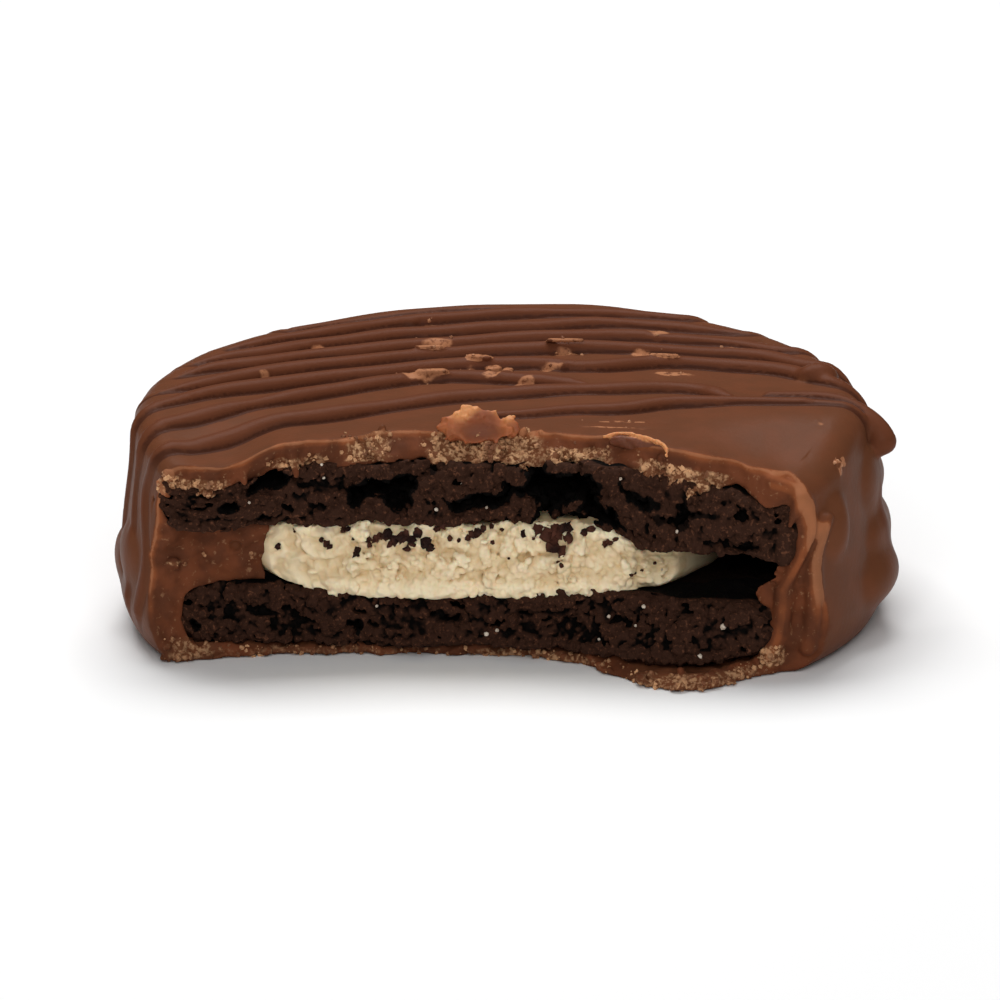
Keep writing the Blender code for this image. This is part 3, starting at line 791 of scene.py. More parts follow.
topWaferBreak = [
    (8.6, [(-20, -11.3), (-16, -11.7), (-13, -11.4), (-9, -11), (-4, -10.7), (2, -10.6), (6, -10.7),
           (10, -11.2), (14, -12), (17, -12), (20, -11.5)]),
    (12.3, [(-20, -11.3), (-16, -11.7), (-13, -11.3), (-9, -10.6), (-4, -10.1), (2, -9.9),
            (6, -10.2), (10, -10.9), (14, -11.7), (17, -11.7), (20, -11.3)]),
]
bottomWaferBreak = [
    (0.9, [(-20, -9.9), (-8, -9.8), (0, -9.7), (4, -10.2), (8, -12.2), (12, -13.9), (16, -13.2),
           (20, -12)]),
    (4.6, [(-20, -9.9), (-14, -9.7), (-8, -9.8), (0, -9.9), (4, -10), (8, -10.7), (12, -11.8),
           (16, -12.2), (20, -12)]),
]

# Hollows in the top wafer where crumbs fell out, and in the bottom one: centre and half sizes.
topHollows = [
    ((-12.7, -11.4, 11.6), (1.7, 1.9, 1.1)), ((-14.9, -11.9, 10.6), (0.9, 0.9, 0.42)),
    ((-13.3, -11.6, 9.2), (0.9, 0.9, 0.45)), ((-6.1, -10.6, 10.6), (2.2, 1.8, 1.0)),
    ((4.2, -10.2, 10.7), (2.7, 2.6, 2.1)), ((-9.4, -10.9, 9.8), (1.5, 0.8, 0.35)),
    ((9.0, -11.0, 10.9), (1.5, 0.9, 0.4)), ((13.2, -11.9, 10.9), (1.7, 0.8, 0.3)),
    ((-0.4, -10.4, 10.2), (2.2, 1.4, 0.9)), ((11.5, -11.4, 10.2), (1.3, 0.8, 0.35)),
    ((-3.0, -10.5, 11.8), (0.9, 0.8, 0.5)), ((15.6, -12.0, 9.4), (1.0, 0.7, 0.3)),
]
bottomHollows = [
    ((-17.5, -9.9, 2.1), (0.5, 1.0, 0.5)), ((-8.1, -9.8, 2.1), (1.0, 1.2, 0.65)),
    ((-13.2, -9.7, 3.0), (0.8, 0.6, 0.3)), ((-2.4, -9.8, 2.6), (1.1, 0.7, 0.35)),
    ((3.1, -10.1, 3.1), (1.0, 0.7, 0.35)), ((15.4, -13.1, 2.0), (0.6, 0.7, 0.4)),
    ((8.6, -11.8, 2.9), (0.9, 0.6, 0.3)),
]


# A wafer's own edge where the coating came away from it.
smoothEnds = {"topWafer": [((18.05, -11.5, 9.3), (0.6, 0.75, 1.7))]}


def addReliefShade(piece, reach, cell, axes=None, fallen=None):
    # how far each place on the break stands out from what lies round it, from 0 to 1, kept as a value that paints
    # shade into the pits and light onto what stands out
    points = pointsOf(piece.data)
    start = points.min(0)
    column = ((points[:, 0] - start[0]) / cell).astype(int)
    row = ((points[:, 2] - start[2]) / cell).astype(int)
    front = points[:, 1] < np.interp(points[:, 0], [-20, 0, 20], [-8.8, -8.4, -8.8])
    shape = column.max() + 1, row.max() + 1
    index = (column * shape[1] + row)[front]
    count = np.bincount(index, minlength=shape[0] * shape[1]).reshape(shape).astype(float)
    total = np.bincount(index, points[front, 1], shape[0] * shape[1]).reshape(shape)
    for _ in range(2):
        for axis in (0, 1):
            count = count + 0.5 * (np.roll(count, 1, axis) + np.roll(count, -1, axis))
            total = total + 0.5 * (np.roll(total, 1, axis) + np.roll(total, -1, axis))
    mean = total / np.maximum(count, 1e-6)
    mean = np.where(count > 0.2, mean, total.sum() / count.sum())
    # read between the four nearest cells
    across = np.clip((points[:, 0] - start[0]) / cell - 0.5, 0, shape[0] - 1.001)
    up = np.clip((points[:, 2] - start[2]) / cell - 0.5, 0, shape[1] - 1.001)
    left, below = across.astype(int), up.astype(int)
    across, up = across - left, up - below
    around = ((mean[left, below] * (1 - across) + mean[left + 1, below] * across) * (1 - up)
              + (mean[left, below + 1] * (1 - across) + mean[left + 1, below + 1] * across) * up)
    reliefShade = smoothStep(around - points[:, 1], -reach, reach)
    reliefShade = np.where(front, reliefShade, 0.4)
    if fallen is not None:
        column, row = [np.clip(np.searchsorted(axes[axis], points[:, axis]), 0, len(axes[axis]) - 1)
                       for axis in (0, 2)]
        # painted shade: deep hollows where crumbs fell out are coloured nearly black
        reliefShade = reliefShade * (1 - 0.92 * smoothStep(fallen[column, row], 0.5, 1.6))
    addValue(piece.data, "reliefShade", reliefShade)


def buildWafer(name, low, high, radius, edge, curves, hollows, seed):
    fine = wafer["fine"]
    axes = (gridLine(-22.4, 22.4, -22.4, 22.4, fine, fine),
            gridLine(-16.5, 22.4, -15.6, -8.2, fine, 0.5),
            gridLine(low - 0.7, high + 0.7, low - 0.7, high + 0.7, fine, fine))
    rng = np.random.default_rng(seed)
    disc = turnedField(discOutline(radius, low, high, edge), axes)
    depth = breakDepth(curves, axes[0], axes[2])
    front = slice(0, int(np.searchsorted(axes[1], -6.5)))
    near = (axes[0], axes[1][front], axes[2])
    disc[:, front, :] += 0.10 * roughField(near, 1.4, seed + 1) + 0.06 * roughField(near, 0.5, seed + 2)
    cut = depth[:, None, :] - near[1][None, :, None]
    cut = cut + 0.26 * roughField(near, (1.8, 1.2, 0.9), seed + 3)
    cut += 0.12 * roughField(near, (0.6, 0.6, 0.45), seed + 4) + 0.08 * roughField(near, 0.22, seed + 6)
    # cracks between clumps of crumbs, lying flatter towards +X
    layered = smoothStep(axes[0], 6.0, 14.0)[:, None, None].astype(np.float32)
    cracks = np.abs(roughField(near, (0.9, 0.9, 0.7), seed + 5))
    cut += 0.5 * (1 - layered) * np.clip(1 - cracks / 0.45, 0, 1) ** 2
    cracks = np.abs(roughField(near, (0.42, 0.5, 0.36), seed + 7))
    cut += 0.36 * np.clip(1 - cracks / 0.5, 0, 1) ** 2
    cracks = np.abs(roughField(near, (2.2, 1.2, 0.5), seed + 8))
    cut += 0.45 * layered * np.clip(1 - cracks / 0.45, 0, 1) ** 2
    fallen = np.zeros((len(axes[0]), len(axes[2])), dtype=np.float32)
    ragged = 0.30 * roughMap(axes[0], axes[2], 0.7, seed + 9) + 0.16 * roughMap(axes[0], axes[2], 0.3, seed + 10)
    for (x, _, z), (wide, deep, tall) in hollows:
        away = np.hypot((axes[0][:, None] - x) / wide, (axes[2][None, :] - z) / tall) + ragged
        fallen = np.maximum(fallen, 1.5 * deep * (1 - smoothStep(away, 0.6, 1.0)))
    cut += fallen[:, None, :]
    solid = disc[:, front, :].copy()
    field = disc
    field[:, front, :] = softMax(disc[:, front, :], cut, 0.08)
    first = field[:, front, :].copy()

    def crumbs(count, smallest, largest, blend):
        for _ in range(count):
            x, z = rng.uniform(-19.8, 19.3), rng.uniform(low + 0.1, high - 0.1)
            column, row = int(np.searchsorted(axes[0], x)), int(np.searchsorted(axes[2], z))
            line = first[column, :, row]
            inside = np.nonzero(line < 0)[0]
            if not len(inside) or solid[column, inside[0], row] > -0.12:
                continue
            size = smallest + (largest - smallest) * rng.random() ** 2
            y = float(axes[1][inside[0]]) + rng.uniform(-0.5, 0.6) * size
            addChip(field, axes, (x, y, z), (size * rng.uniform(0.9, 1.5), size, size * rng.uniform(0.6, 1)),
                    anyTurn(rng), blend)

    crumbs(wafer["grains"], 0.09, 0.3, 0.03)
    for _ in range(wafer["pores"]):
        x, z = rng.uniform(-20, 19.5), rng.uniform(low, high)
        y = np.interp(x, axes[0], depth[:, int(np.searchsorted(axes[2], z))]) + rng.uniform(-0.2, 0.5)
        size = rng.uniform(0.12, 0.34)
        takeLump(field, axes, (x, y, z), (size * rng.uniform(1, 2.2), size * 1.6, size * rng.uniform(0.6, 1)),
                 turnAbout("Y", rng.uniform(-30, 30)), 0.06)
    first = field[:, front, :].copy()
    crumbs(wafer["fineGrains"], 0.06, 0.16, 0.02)
    for centre, sizes in smoothEnds.get(name, []):
        addLump(field, axes, centre, sizes, turnAbout("Z", -30), 0.12)
    piece = surfaceOf(field, axes, wafer["triangles"], name)
    addReliefShade(piece, 0.24, 0.26, axes, fallen)
    print(name + ":", len(piece.data.polygons), "faces")
    return piece


# The filling

filling = {
    "centre": (-1.8, 0.3),
    "radius": 15.2,
    "fine": 0.07,
    "triangles": 190000,
}

creamBreak = [
    (4.2, [(-15, -9.3), (-13, -9.6), (-9, -10.1), (-4, -10.6), (0, -10.3), (5, -10.2), (9, -10.0),
           (12, -9.2), (14, -8.4)]),
    (6.4, [(-15, -9.2), (-13, -9.8), (-9, -10.5), (-4, -10.9), (0, -10.7), (5, -10.6), (9, -10.2),
           (12, -9.3), (14, -8.4)]),
    (8.8, [(-15, -9.2), (-13, -9.7), (-9, -10.2), (-4, -10.4), (0, -10.2), (5, -10.2), (9, -10.0),
           (12, -9.2), (14, -8.4)]),
]


def buildCream():
    fine = filling["fine"]
    low, high = levels["bottomHigh"] - 0.05, levels["topLow"] + 0.05
    axes = (gridLine(-18.0, 15.4, -18.0, 15.4, fine, fine),
            gridLine(-13.4, 16.8, -12.2, -3.0, fine, 0.4),
            gridLine(low - 1.0, high + 0.7, low - 1.0, high + 0.7, fine, fine))
    rng = np.random.default_rng(77)
    disc = turnedField(discOutline(filling["radius"], low, high, 1.65), axes, filling["centre"])
    wider = turnedField(discOutline(filling["radius"] + 0.55, low, high, 0.95), axes, (-1.15, 0.3))
    disc += smoothStep(axes[0], 2.0, 6.0)[:, None, None].astype(np.float32) * (np.minimum(disc, wider) - disc)
    front = slice(0, int(np.searchsorted(axes[1], -5.0)))
    near = (axes[0], axes[1][front], axes[2])
    disc[:, front, :] += 0.10 * roughField(near, 1.8, 71)
    depth = breakDepth(creamBreak, axes[0], axes[2])
    cut = depth[:, None, :] - near[1][None, :, None]
    grainy = smoothStep(axes[0], -10.5, -6.5) * smoothStep(-axes[0], -7.2, -4.2)
    grainy = (0.5 + 0.5 * grainy)[:, None, None].astype(np.float32)
    cut = cut + 0.16 * roughField(near, (1.3, 1.6, 2.2), 72)
    cut -= (0.5 + 0.5 * grainy) * (0.26 * np.abs(roughField(near, 0.95, 73)) - 0.17)
    cut -= grainy * (0.22 * np.abs(roughField(near, 0.42, 74)) - 0.15)
    cut -= grainy * (0.16 * np.abs(roughField(near, 0.22, 75)) - 0.1)
    field = disc
    field[:, front, :] = softMax(disc[:, front, :], cut, 0.2)
    # cream that was pulled down over the bottom wafer, and small torn tufts
    for centre, sizes in [((-4.2, -10.4, 4.7), (2.0, 0.8, 0.7)), ((-2.9, -10.4, 4.5), (0.9, 0.7, 0.6)),
                          ((5.2, -10.2, 4.5), (0.5, 0.45, 0.6)), ((-8.6, -10.2, 4.9), (1.3, 0.7, 0.5)),
                          ((1.6, -10.3, 4.8), (1.5, 0.7, 0.45)), ((7.6, -9.9, 8.2), (0.9, 0.5, 0.5))]:
        addLump(field, axes, centre, sizes, straight, 0.35)
    for _ in range(300):
        x = rng.uniform(-11.0, 8.8)
        size = rng.uniform(0.1, 0.36)
        y = np.interp(x, axes[0], depth[:, 20]) + rng.uniform(-0.1, 0.3)
        addLump(field, axes, (x, y, low + rng.uniform(-0.35, 0.2)),
                (size * rng.uniform(0.7, 1.2), size, size * rng.uniform(0.7, 1.3)), anyTurn(rng), 0.15)
    first = field.copy()
    for _ in range(3600):
        x, z = rng.uniform(-9.5, 9), rng.uniform(low - 0.3, high + 0.1)
        column, row = int(np.searchsorted(axes[0], x)), int(np.searchsorted(axes[2], z))
        inside = np.nonzero(first[column, :, row] < 0)[0]
        if not len(inside) or axes[1][inside[0]] > -8.4:
            continue
        size = 0.08 + 0.13 * rng.random() ** 2
        addLump(field, axes, (x, float(axes[1][inside[0]]) + 0.02, z),
                (size, size * rng.uniform(0.8, 1.2), size * rng.uniform(0.7, 1.3)), anyTurn(rng), 0.09)
    piece = surfaceOf(field, axes, filling["triangles"], "creamFilling")
    addReliefShade(piece, 0.3, 0.35)
    print("cream:", len(piece.data.polygons), "faces")
    return piece


# Materials

def newMaterial(name):
    material = bpy.data.materials.new(name)
    material.use_nodes = True
    material.node_tree.nodes.clear()
    return material


class Nodes:
    # a small helper that adds and joins nodes
    def __init__(self, tree):
        self.tree = tree
        self.column = 0

    def add(self, kind, settings=None, **inputs):
        node = self.tree.nodes.new(kind)
        node.location = (self.column * 180, 0)
        self.column += 1
        for key, value in (settings or {}).items():
            setattr(node, key, value)
        for key, value in inputs.items():
            self.feed(node.inputs[key.replace("_", " ")], value)
        return node

    def feed(self, socket, value):
        if isinstance(value, bpy.types.NodeSocket):
            self.tree.links.new(value, socket)
        else:
            socket.default_value = value


def linear(red, green, blue):
    # a colour given from 0 to 255, as the shader wants it
    return tuple(((c / 255 + 0.055) / 1.055) ** 2.4 if c > 10 else c / 255 / 12.92
                 for c in (red, green, blue)) + (1.0,)


def grainGroup():
    # fine and coarse mottling of a surface, and its height for a bump
    group = bpy.data.node_groups.new("surfaceGrain", "ShaderNodeTree")
    group.interface.new_socket("Vector", in_out="INPUT", socket_type="NodeSocketVector")
    for name, value in [("Coarse Scale", 400.0), ("Fine Scale", 3000.0), ("Coarse Share", 0.5)]:
        socket = group.interface.new_socket(name, in_out="INPUT", socket_type="NodeSocketFloat")
        socket.default_value = value
    for name in ("Coarse", "Fine", "Height"):
        group.interface.new_socket(name, in_out="OUTPUT", socket_type="NodeSocketFloat")
    nodes = Nodes(group)
    source = nodes.add("NodeGroupInput")
    coarse = nodes.add("ShaderNodeTexNoise", Vector=source.outputs["Vector"],
                       Scale=source.outputs["Coarse Scale"], Detail=3.0)
    fine = nodes.add("ShaderNodeTexNoise", Vector=source.outputs["Vector"],
                     Scale=source.outputs["Fine Scale"], Detail=4.0, Roughness=0.6)
    height = nodes.add("ShaderNodeMix", {"data_type": "FLOAT"})
    nodes.feed(height.inputs[0], source.outputs["Coarse Share"])
    nodes.feed(height.inputs[2], fine.outputs[0])
    nodes.feed(height.inputs[3], coarse.outputs[0])
    out = nodes.add("NodeGroupOutput")
    nodes.feed(out.inputs["Coarse"], coarse.outputs[0])
    nodes.feed(out.inputs["Fine"], fine.outputs[0])
    nodes.feed(out.inputs["Height"], height.outputs[0])
    return group


surfaceGrain = grainGroup()


def grainIn(nodes, coarse, fine, share):
    place = nodes.add("ShaderNodeTexCoord")
    grain = nodes.add("ShaderNodeGroup", {"node_tree": surfaceGrain})
    nodes.feed(grain.inputs["Vector"], place.outputs["Object"])
    grain.inputs["Coarse Scale"].default_value = coarse
    grain.inputs["Fine Scale"].default_value = fine
    grain.inputs["Coarse Share"].default_value = share
    return grain


def mixColour(nodes, share, first, second):
    mix = nodes.add("ShaderNodeMix", {"data_type": "RGBA"})
    nodes.feed(mix.inputs[0], share)
    nodes.feed(mix.inputs[6], first)
    nodes.feed(mix.inputs[7], second)
    return mix.outputs[2]


def spread(nodes, value, low, high, to=(0.0, 1.0)):
    step = nodes.add("ShaderNodeMapRange", {"interpolation_type": "SMOOTHSTEP"})
    nodes.feed(step.inputs[0], value)
    step.inputs[1].default_value = low
    step.inputs[2].default_value = high
    step.inputs[3].default_value = to[0]
    step.inputs[4].default_value = to[1]
    return step.outputs[0]


def finishShader(nodes, colour, roughness, height, bump, **fixed):
    shader = nodes.add("ShaderNodeBsdfPrincipled")
    nodes.feed(shader.inputs["Base Color"], colour)
    nodes.feed(shader.inputs["Roughness"], roughness)
    for key, value in fixed.items():
        shader.inputs[key.replace("_", " ")].default_value = value
    relief = nodes.add("ShaderNodeBump", Height=height, Strength=bump[0], Distance=bump[1])
    nodes.feed(shader.inputs["Normal"], relief.outputs[0])
    out = nodes.add("ShaderNodeOutputMaterial")
    nodes.feed(out.inputs["Surface"], shader.outputs[0])
    return shader


chocolateLook = {
    "skin": linear(103, 62, 41),
    "skinWarm": linear(109, 64, 42),
    "broken": linear(88, 50, 33),
    "brokenWarm": linear(108, 60, 38),
    "crumb": linear(112, 70, 46),
    "crumbLight": linear(198, 154, 114),
    # painted highlight colour for the lip of the break
    "rim": linear(146, 82, 48),
    "scuff": linear(172, 116, 82),
    # painted shade: the colour that makes the ridges darker and redder than the flat skin
    "ridge": linear(100, 56, 37),
    # painted shade for the creases at the ridges' front feet
    "grooveAndShade": linear(66, 36, 26),
}


def chocolateMaterial():
    material = newMaterial("milkChocolate")
    nodes = Nodes(material.node_tree)
    grain = grainIn(nodes, 520.0, 3000.0, 0.3)
    coarse, fine = grain.outputs["Coarse"], grain.outputs["Fine"]

    def value(name):
        return nodes.add("ShaderNodeAttribute", {"attribute_name": name}).outputs["Fac"]

    broken = value("broken")
    skin = mixColour(nodes, spread(nodes, coarse, 0.35, 0.68),
                     chocolateLook["skin"], chocolateLook["skinWarm"])
    # painted shade colours the ridges darker and redder than the flat skin
    skin = mixColour(nodes, spread(nodes, value("ridge"), 0.0, 1.0, (0.0, 0.75)), skin, chocolateLook["ridge"])
    # painted shade darkens the creases at the front foot of each ridge
    skin = mixColour(nodes, spread(nodes, value("grooveAndShade"), 0.0, 1.0, (0.0, 0.8)), skin, chocolateLook["grooveAndShade"])
    scuff = mixColour(nodes, spread(nodes, fine, 0.3, 0.52), chocolateLook["skinWarm"], chocolateLook["scuff"])
    torn = nodes.add("ShaderNodeMath", {"operation": "MULTIPLY_ADD"})
    nodes.feed(torn.inputs[0], coarse)
    torn.inputs[1].default_value = 1.4
    nodes.feed(torn.inputs[2], value("scuffed"))
    skin = mixColour(nodes, spread(nodes, torn.outputs[0], 1.04, 1.24), skin, scuff)
    inside = mixColour(nodes, spread(nodes, coarse, 0.38, 0.62),
                       chocolateLook["broken"], chocolateLook["brokenWarm"])
    crumb = mixColour(nodes, spread(nodes, fine, 0.46, 0.62),
                      chocolateLook["crumb"], chocolateLook["crumbLight"])
    inside = mixColour(nodes, spread(nodes, value("crumbly"), 0.2, 0.7), inside, crumb)
    specks = spread(nodes, fine, 0.60, 0.70, (0.0, 0.22))
    inside = mixColour(nodes, specks, inside, chocolateLook["crumbLight"])
    # painted highlight along the lip of the broken coating
    lipHighlight = nodes.add("ShaderNodeMath", {"operation": "MULTIPLY"})
    nodes.feed(lipHighlight.inputs[0], spread(nodes, value("rim"), 0.2, 1.0, (0.0, 0.8)))
    nodes.feed(lipHighlight.inputs[1], spread(nodes, coarse, 0.36, 0.62, (0.35, 1.0)))
    inside = mixColour(nodes, lipHighlight.outputs[0], inside, chocolateLook["rim"])
    # a paler painted highlight on the outermost edge of the lip, in the scuff colour
    thin = spread(nodes, value("rim"), 0.82, 1.0, (0.0, 0.5))
    inside = mixColour(nodes, thin, inside, chocolateLook["scuff"])
    colour = mixColour(nodes, broken, skin, inside)
    roughness = spread(nodes, broken, 0.0, 1.0, (0.42, 0.6))
    finishShader(nodes, colour, roughness, grain.outputs["Height"], (0.3, 0.0001),
                 Specular_IOR_Level=0.035)
    return material


def flakeMaterial():
    material = newMaterial("paleFlake")
    nodes = Nodes(material.node_tree)
    grain = grainIn(nodes, 420.0, 2200.0, 0.4)
    edge = nodes.add("ShaderNodeAttribute", {"attribute_name": "edge"}).outputs["Fac"]
    middle = mixColour(nodes, spread(nodes, grain.outputs["Coarse"], 0.38, 0.62),
                       linear(138, 72, 38), linear(178, 102, 56))
    shade = nodes.add("ShaderNodeAttribute", {"attribute_name": "shade"}).outputs["Fac"]
    middle = mixColour(nodes, shade, middle, linear(106, 56, 32))
    # the edge value paints a pale orange highlight on the standing flake's top edge, and colours the lifted rim
    # pale
    colour = mixColour(nodes, edge, middle, linear(212, 142, 88))
    finishShader(nodes, colour, 0.62, grain.outputs["Height"], (0.5, 0.00015),
                 Specular_IOR_Level=0.35, Subsurface_Weight=0.15, Subsurface_Scale=0.0005)
    return material


def crumbMaterial(name, dark, light, roughness, level=0.3):
    material = newMaterial(name)
    nodes = Nodes(material.node_tree)
    grain = grainIn(nodes, 700.0, 4200.0, 0.4)
    colour = mixColour(nodes, spread(nodes, grain.outputs["Coarse"], 0.36, 0.64), dark, light)
    finishShader(nodes, colour, roughness, grain.outputs["Height"], (0.5, 0.00008),
                 Specular_IOR_Level=level)
    return material


def waferMaterial():
    material = newMaterial("cocoaWafer")
    nodes = Nodes(material.node_tree)
    grain = grainIn(nodes, 1100.0, 4200.0, 0.5)
    reliefShade = nodes.add("ShaderNodeAttribute", {"attribute_name": "reliefShade"}).outputs["Fac"]
    # painted shade in the wafer's pits, and painted light on the crumbs that stand out
    dark = mixColour(nodes, spread(nodes, reliefShade, 0.2, 0.85), linear(9, 7, 6), linear(56, 35, 26))
    light = mixColour(nodes, spread(nodes, reliefShade, 0.3, 0.95), linear(20, 12, 10), linear(98, 62, 45))
    colour = mixColour(nodes, spread(nodes, grain.outputs["Fine"], 0.54, 0.70), dark, light)
    finishShader(nodes, colour, 0.85, grain.outputs["Height"], (0.8, 0.0003),
                 Specular_IOR_Level=0.04)
    return material


def creamMaterial():
    material = newMaterial("sweetCream")
    nodes = Nodes(material.node_tree)
    grain = grainIn(nodes, 900.0, 3600.0, 0.5)
    reliefShade = nodes.add("ShaderNodeAttribute", {"attribute_name": "reliefShade"}).outputs["Fac"]
    pale = mixColour(nodes, spread(nodes, grain.outputs["Coarse"], 0.38, 0.62),
                     linear(236, 214, 174), linear(246, 228, 192))
    # painted shade: the cream is darker and yellower in its hollows
    colour = mixColour(nodes, reliefShade, linear(212, 184, 140), pale)
    finishShader(nodes, colour, 0.62, grain.outputs["Height"], (0.5, 0.00012),
                 Subsurface_Weight=0.2, Subsurface_Scale=0.0005, Specular_IOR_Level=0.3)
    return material


# Camera, floor and light

view = {
    "azimuth": 5.5,
    "elevation": 16.5,
    "roll": -1.0,
    "distance": 420.0,
    "aim": (0.0, 0.0, 7.0),
    "lens": 248.0,
}


def makeCamera():
    a, e, r = [math.radians(view[key]) for key in ("azimuth", "elevation", "roll")]
    back = Vector((math.sin(a) * math.cos(e), -math.cos(a) * math.cos(e), math.sin(e)))
    right = Vector((0, 0, 1)).cross(back).normalized()
    up = back.cross(right)
    right, up = right * math.cos(r) + up * math.sin(r), up * math.cos(r) - right * math.sin(r)
    aim = Vector(view["aim"]) + Vector((axisX, axisY, 0))
    spot = (aim + back * view["distance"]) * mm
    data = bpy.data.cameras.new("camera")
    data.lens = view["lens"]
    data.sensor_width = 36.0
    data.clip_start = 0.01
    data.clip_end = 20.0
    camera = bpy.data.objects.new("camera", data)
    camera.matrix_world = Matrix((
        (right.x, up.x, back.x, spot.x), (right.y, up.y, back.y, spot.y),
        (right.z, up.z, back.z, spot.z), (0, 0, 0, 1)))
    bpy.context.scene.collection.objects.link(camera)
    bpy.context.scene.camera = camera


def makeFloor():
    mesh = bpy.data.meshes.new("floor")
    mesh.from_pydata([(-6, -6, 0), (6, -6, 0), (6, 6, 0), (-6, 6, 0)], [], [(0, 1, 2, 3)])
    floor = bpy.data.objects.new("floor", mesh)
    bpy.context.scene.collection.objects.link(floor)
    material = newMaterial("paleFloor")
    nodes = Nodes(material.node_tree)
    shader = nodes.add("ShaderNodeBsdfPrincipled")
    shader.inputs["Base Color"].default_value = (0.93, 0.93, 0.93, 1)
    shader.inputs["Roughness"].default_value = 0.9
    shader.inputs["Specular IOR Level"].default_value = 0.0
    out = nodes.add("ShaderNodeOutputMaterial")
    nodes.feed(out.inputs["Surface"], shader.outputs[0])
    mesh.materials.append(material)


def softBox(name, spot, size, power, aim=(0, 0, 7)):
    data = bpy.data.lights.new(name, "AREA")
    data.shape = "RECTANGLE"
    data.size, data.size_y = size[0] * mm, size[1] * mm
    data.energy = power
    lamp = bpy.data.objects.new(name, data)
    shift = Vector((axisX, axisY, 0))
    spot, aim = (Vector(spot) + shift) * mm, (Vector(aim) + shift) * mm
    lamp.location = spot
    lamp.rotation_euler = (aim - spot).to_track_quat("-Z", "Y").to_euler()
    bpy.context.scene.collection.objects.link(lamp)


def makeLight():
    scene = bpy.context.scene
    world = bpy.data.worlds.new("studio")
    world.use_nodes = True
    nodes = Nodes(world.node_tree)
    way = nodes.add("ShaderNodeTexCoord")
    parts = nodes.add("ShaderNodeSeparateXYZ", Vector=way.outputs["Generated"])
    level = spread(nodes, parts.outputs["Z"], 0.35, 1.0, (0.01, 0.27))
    # a white backdrop, while only its upper part lights the object
    seen = nodes.add("ShaderNodeMath", {"operation": "MAXIMUM"})
    nodes.feed(seen.inputs[0], level)
    nodes.feed(seen.inputs[1], nodes.add("ShaderNodeLightPath").outputs["Is Camera Ray"])
    backdrop = world.node_tree.nodes["Background"]
    backdrop.inputs[0].default_value = (1, 1, 1, 1)
    nodes.feed(backdrop.inputs[1], seen.outputs[0])
    scene.world = world
    softBox("overhead", (-50, 165, 405), (330, 250), 1.8)
    softBox("frontFill", (35, -400, 250), (320, 240), 1.02)
    scene.view_settings.view_transform = "Standard"


makeCamera()
makeFloor()
makeLight()
print("camera, floor and light are set")

chocolate = chocolateMaterial()
cocoa = waferMaterial()
cream = creamMaterial()

coating = place(buildCoating())
coating.data.materials.append(chocolate)
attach(coating, "root")
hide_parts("coating")

topWafer = place(buildWafer("topWafer", levels["topLow"], levels["topHigh"], waferRadius + 0.3, 0.4,
                            topWaferBreak, topHollows, 21))
bottomWafer = place(buildWafer("bottomWafer", levels["bottomLow"], levels["bottomHigh"],
                               waferRadius - 0.6, 1.7, bottomWaferBreak, bottomHollows, 41))
for piece, node in ((topWafer, "wafer_top"), (bottomWafer, "wafer_bottom")):
    piece.data.materials.append(cocoa)
    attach(piece, "root")
    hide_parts(node)

creamPiece = place(buildCream())
creamPiece.data.materials.append(cream)
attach(creamPiece, "root")
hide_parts("cream")

# Flakes of chocolate on the break: a scalloped one that stands up, and the lifted rim of a chip

flake = {
    "fine": 0.055,
    "lobes": [((-1.9, -8.9, 14.2), (0.8, 0.35, 0.7)), ((-1.25, -8.75, 14.75), (0.75, 0.28, 0.75)),
              ((-0.4, -8.7, 14.85), (0.7, 0.26, 0.75)), ((0.45, -8.8, 14.6), (0.8, 0.28, 0.65)),
              ((1.2, -8.9, 14.3), (0.7, 0.28, 0.55)), ((-0.3, -9.0, 13.9), (2.3, 0.4, 0.6))],
    "tilt": -24,
    "scaleRim": [(7.2, -9.4, 13.75), (8.0, -9.2, 13.95), (8.7, -9.5, 14.0), (9.6, -10.0, 13.95),
                 (10.5, -10.7, 13.85), (11.0, -11.4, 13.7), (11.1, -11.9, 13.45)],
}


def buildFlake():
    fine = flake["fine"]
    axes = tuple(gridLine(low, high, low, high, fine, fine)
                 for low, high in ((-3.4, 2.8), (-10.2, -7.4), (12.8, 16.2)))
    field = np.full([len(line) for line in axes], 3.0, dtype=np.float32)
    turn = turnAbout("X", flake["tilt"])
    for centre, radii in flake["lobes"]:
        addLump(field, axes, centre, radii, turn, 0.18)
    field += 0.08 * roughField(axes, 0.7, 301) + 0.14 * np.abs(roughField(axes, 0.36, 302)) - 0.09
    field += 0.04 * roughField(axes, 0.18, 303)
    hollow = lumpDistance(axes, (slice(None),) * 3, (-0.1, -9.85, 14.2), (1.75, 0.95, 1.0), turn)
    field = softMax(field, -hollow, 0.08)
    piece = surfaceOf(field, axes, 16000, "standingFlake")
    points = pointsOf(piece.data)
    crest = 14.9 + 0.35 * np.cos(points[:, 0] * 2.2)
    dark = np.linalg.norm((points - (-0.1, -9.3, 14.0)) / (1.7, 0.9, 0.6), axis=1)
    # painted highlight: the flake's top edge is coloured pale orange, standing in for light showing through the
    # thin chocolate
    addValue(piece.data, "edge", smoothStep(points[:, 2] - crest, -0.25, 0.3))
    addValue(piece.data, "shade", 0.6 - 0.6 * smoothStep(dark, 0.5, 1.1))
    print("flake:", len(piece.data.polygons), "faces")
    return piece


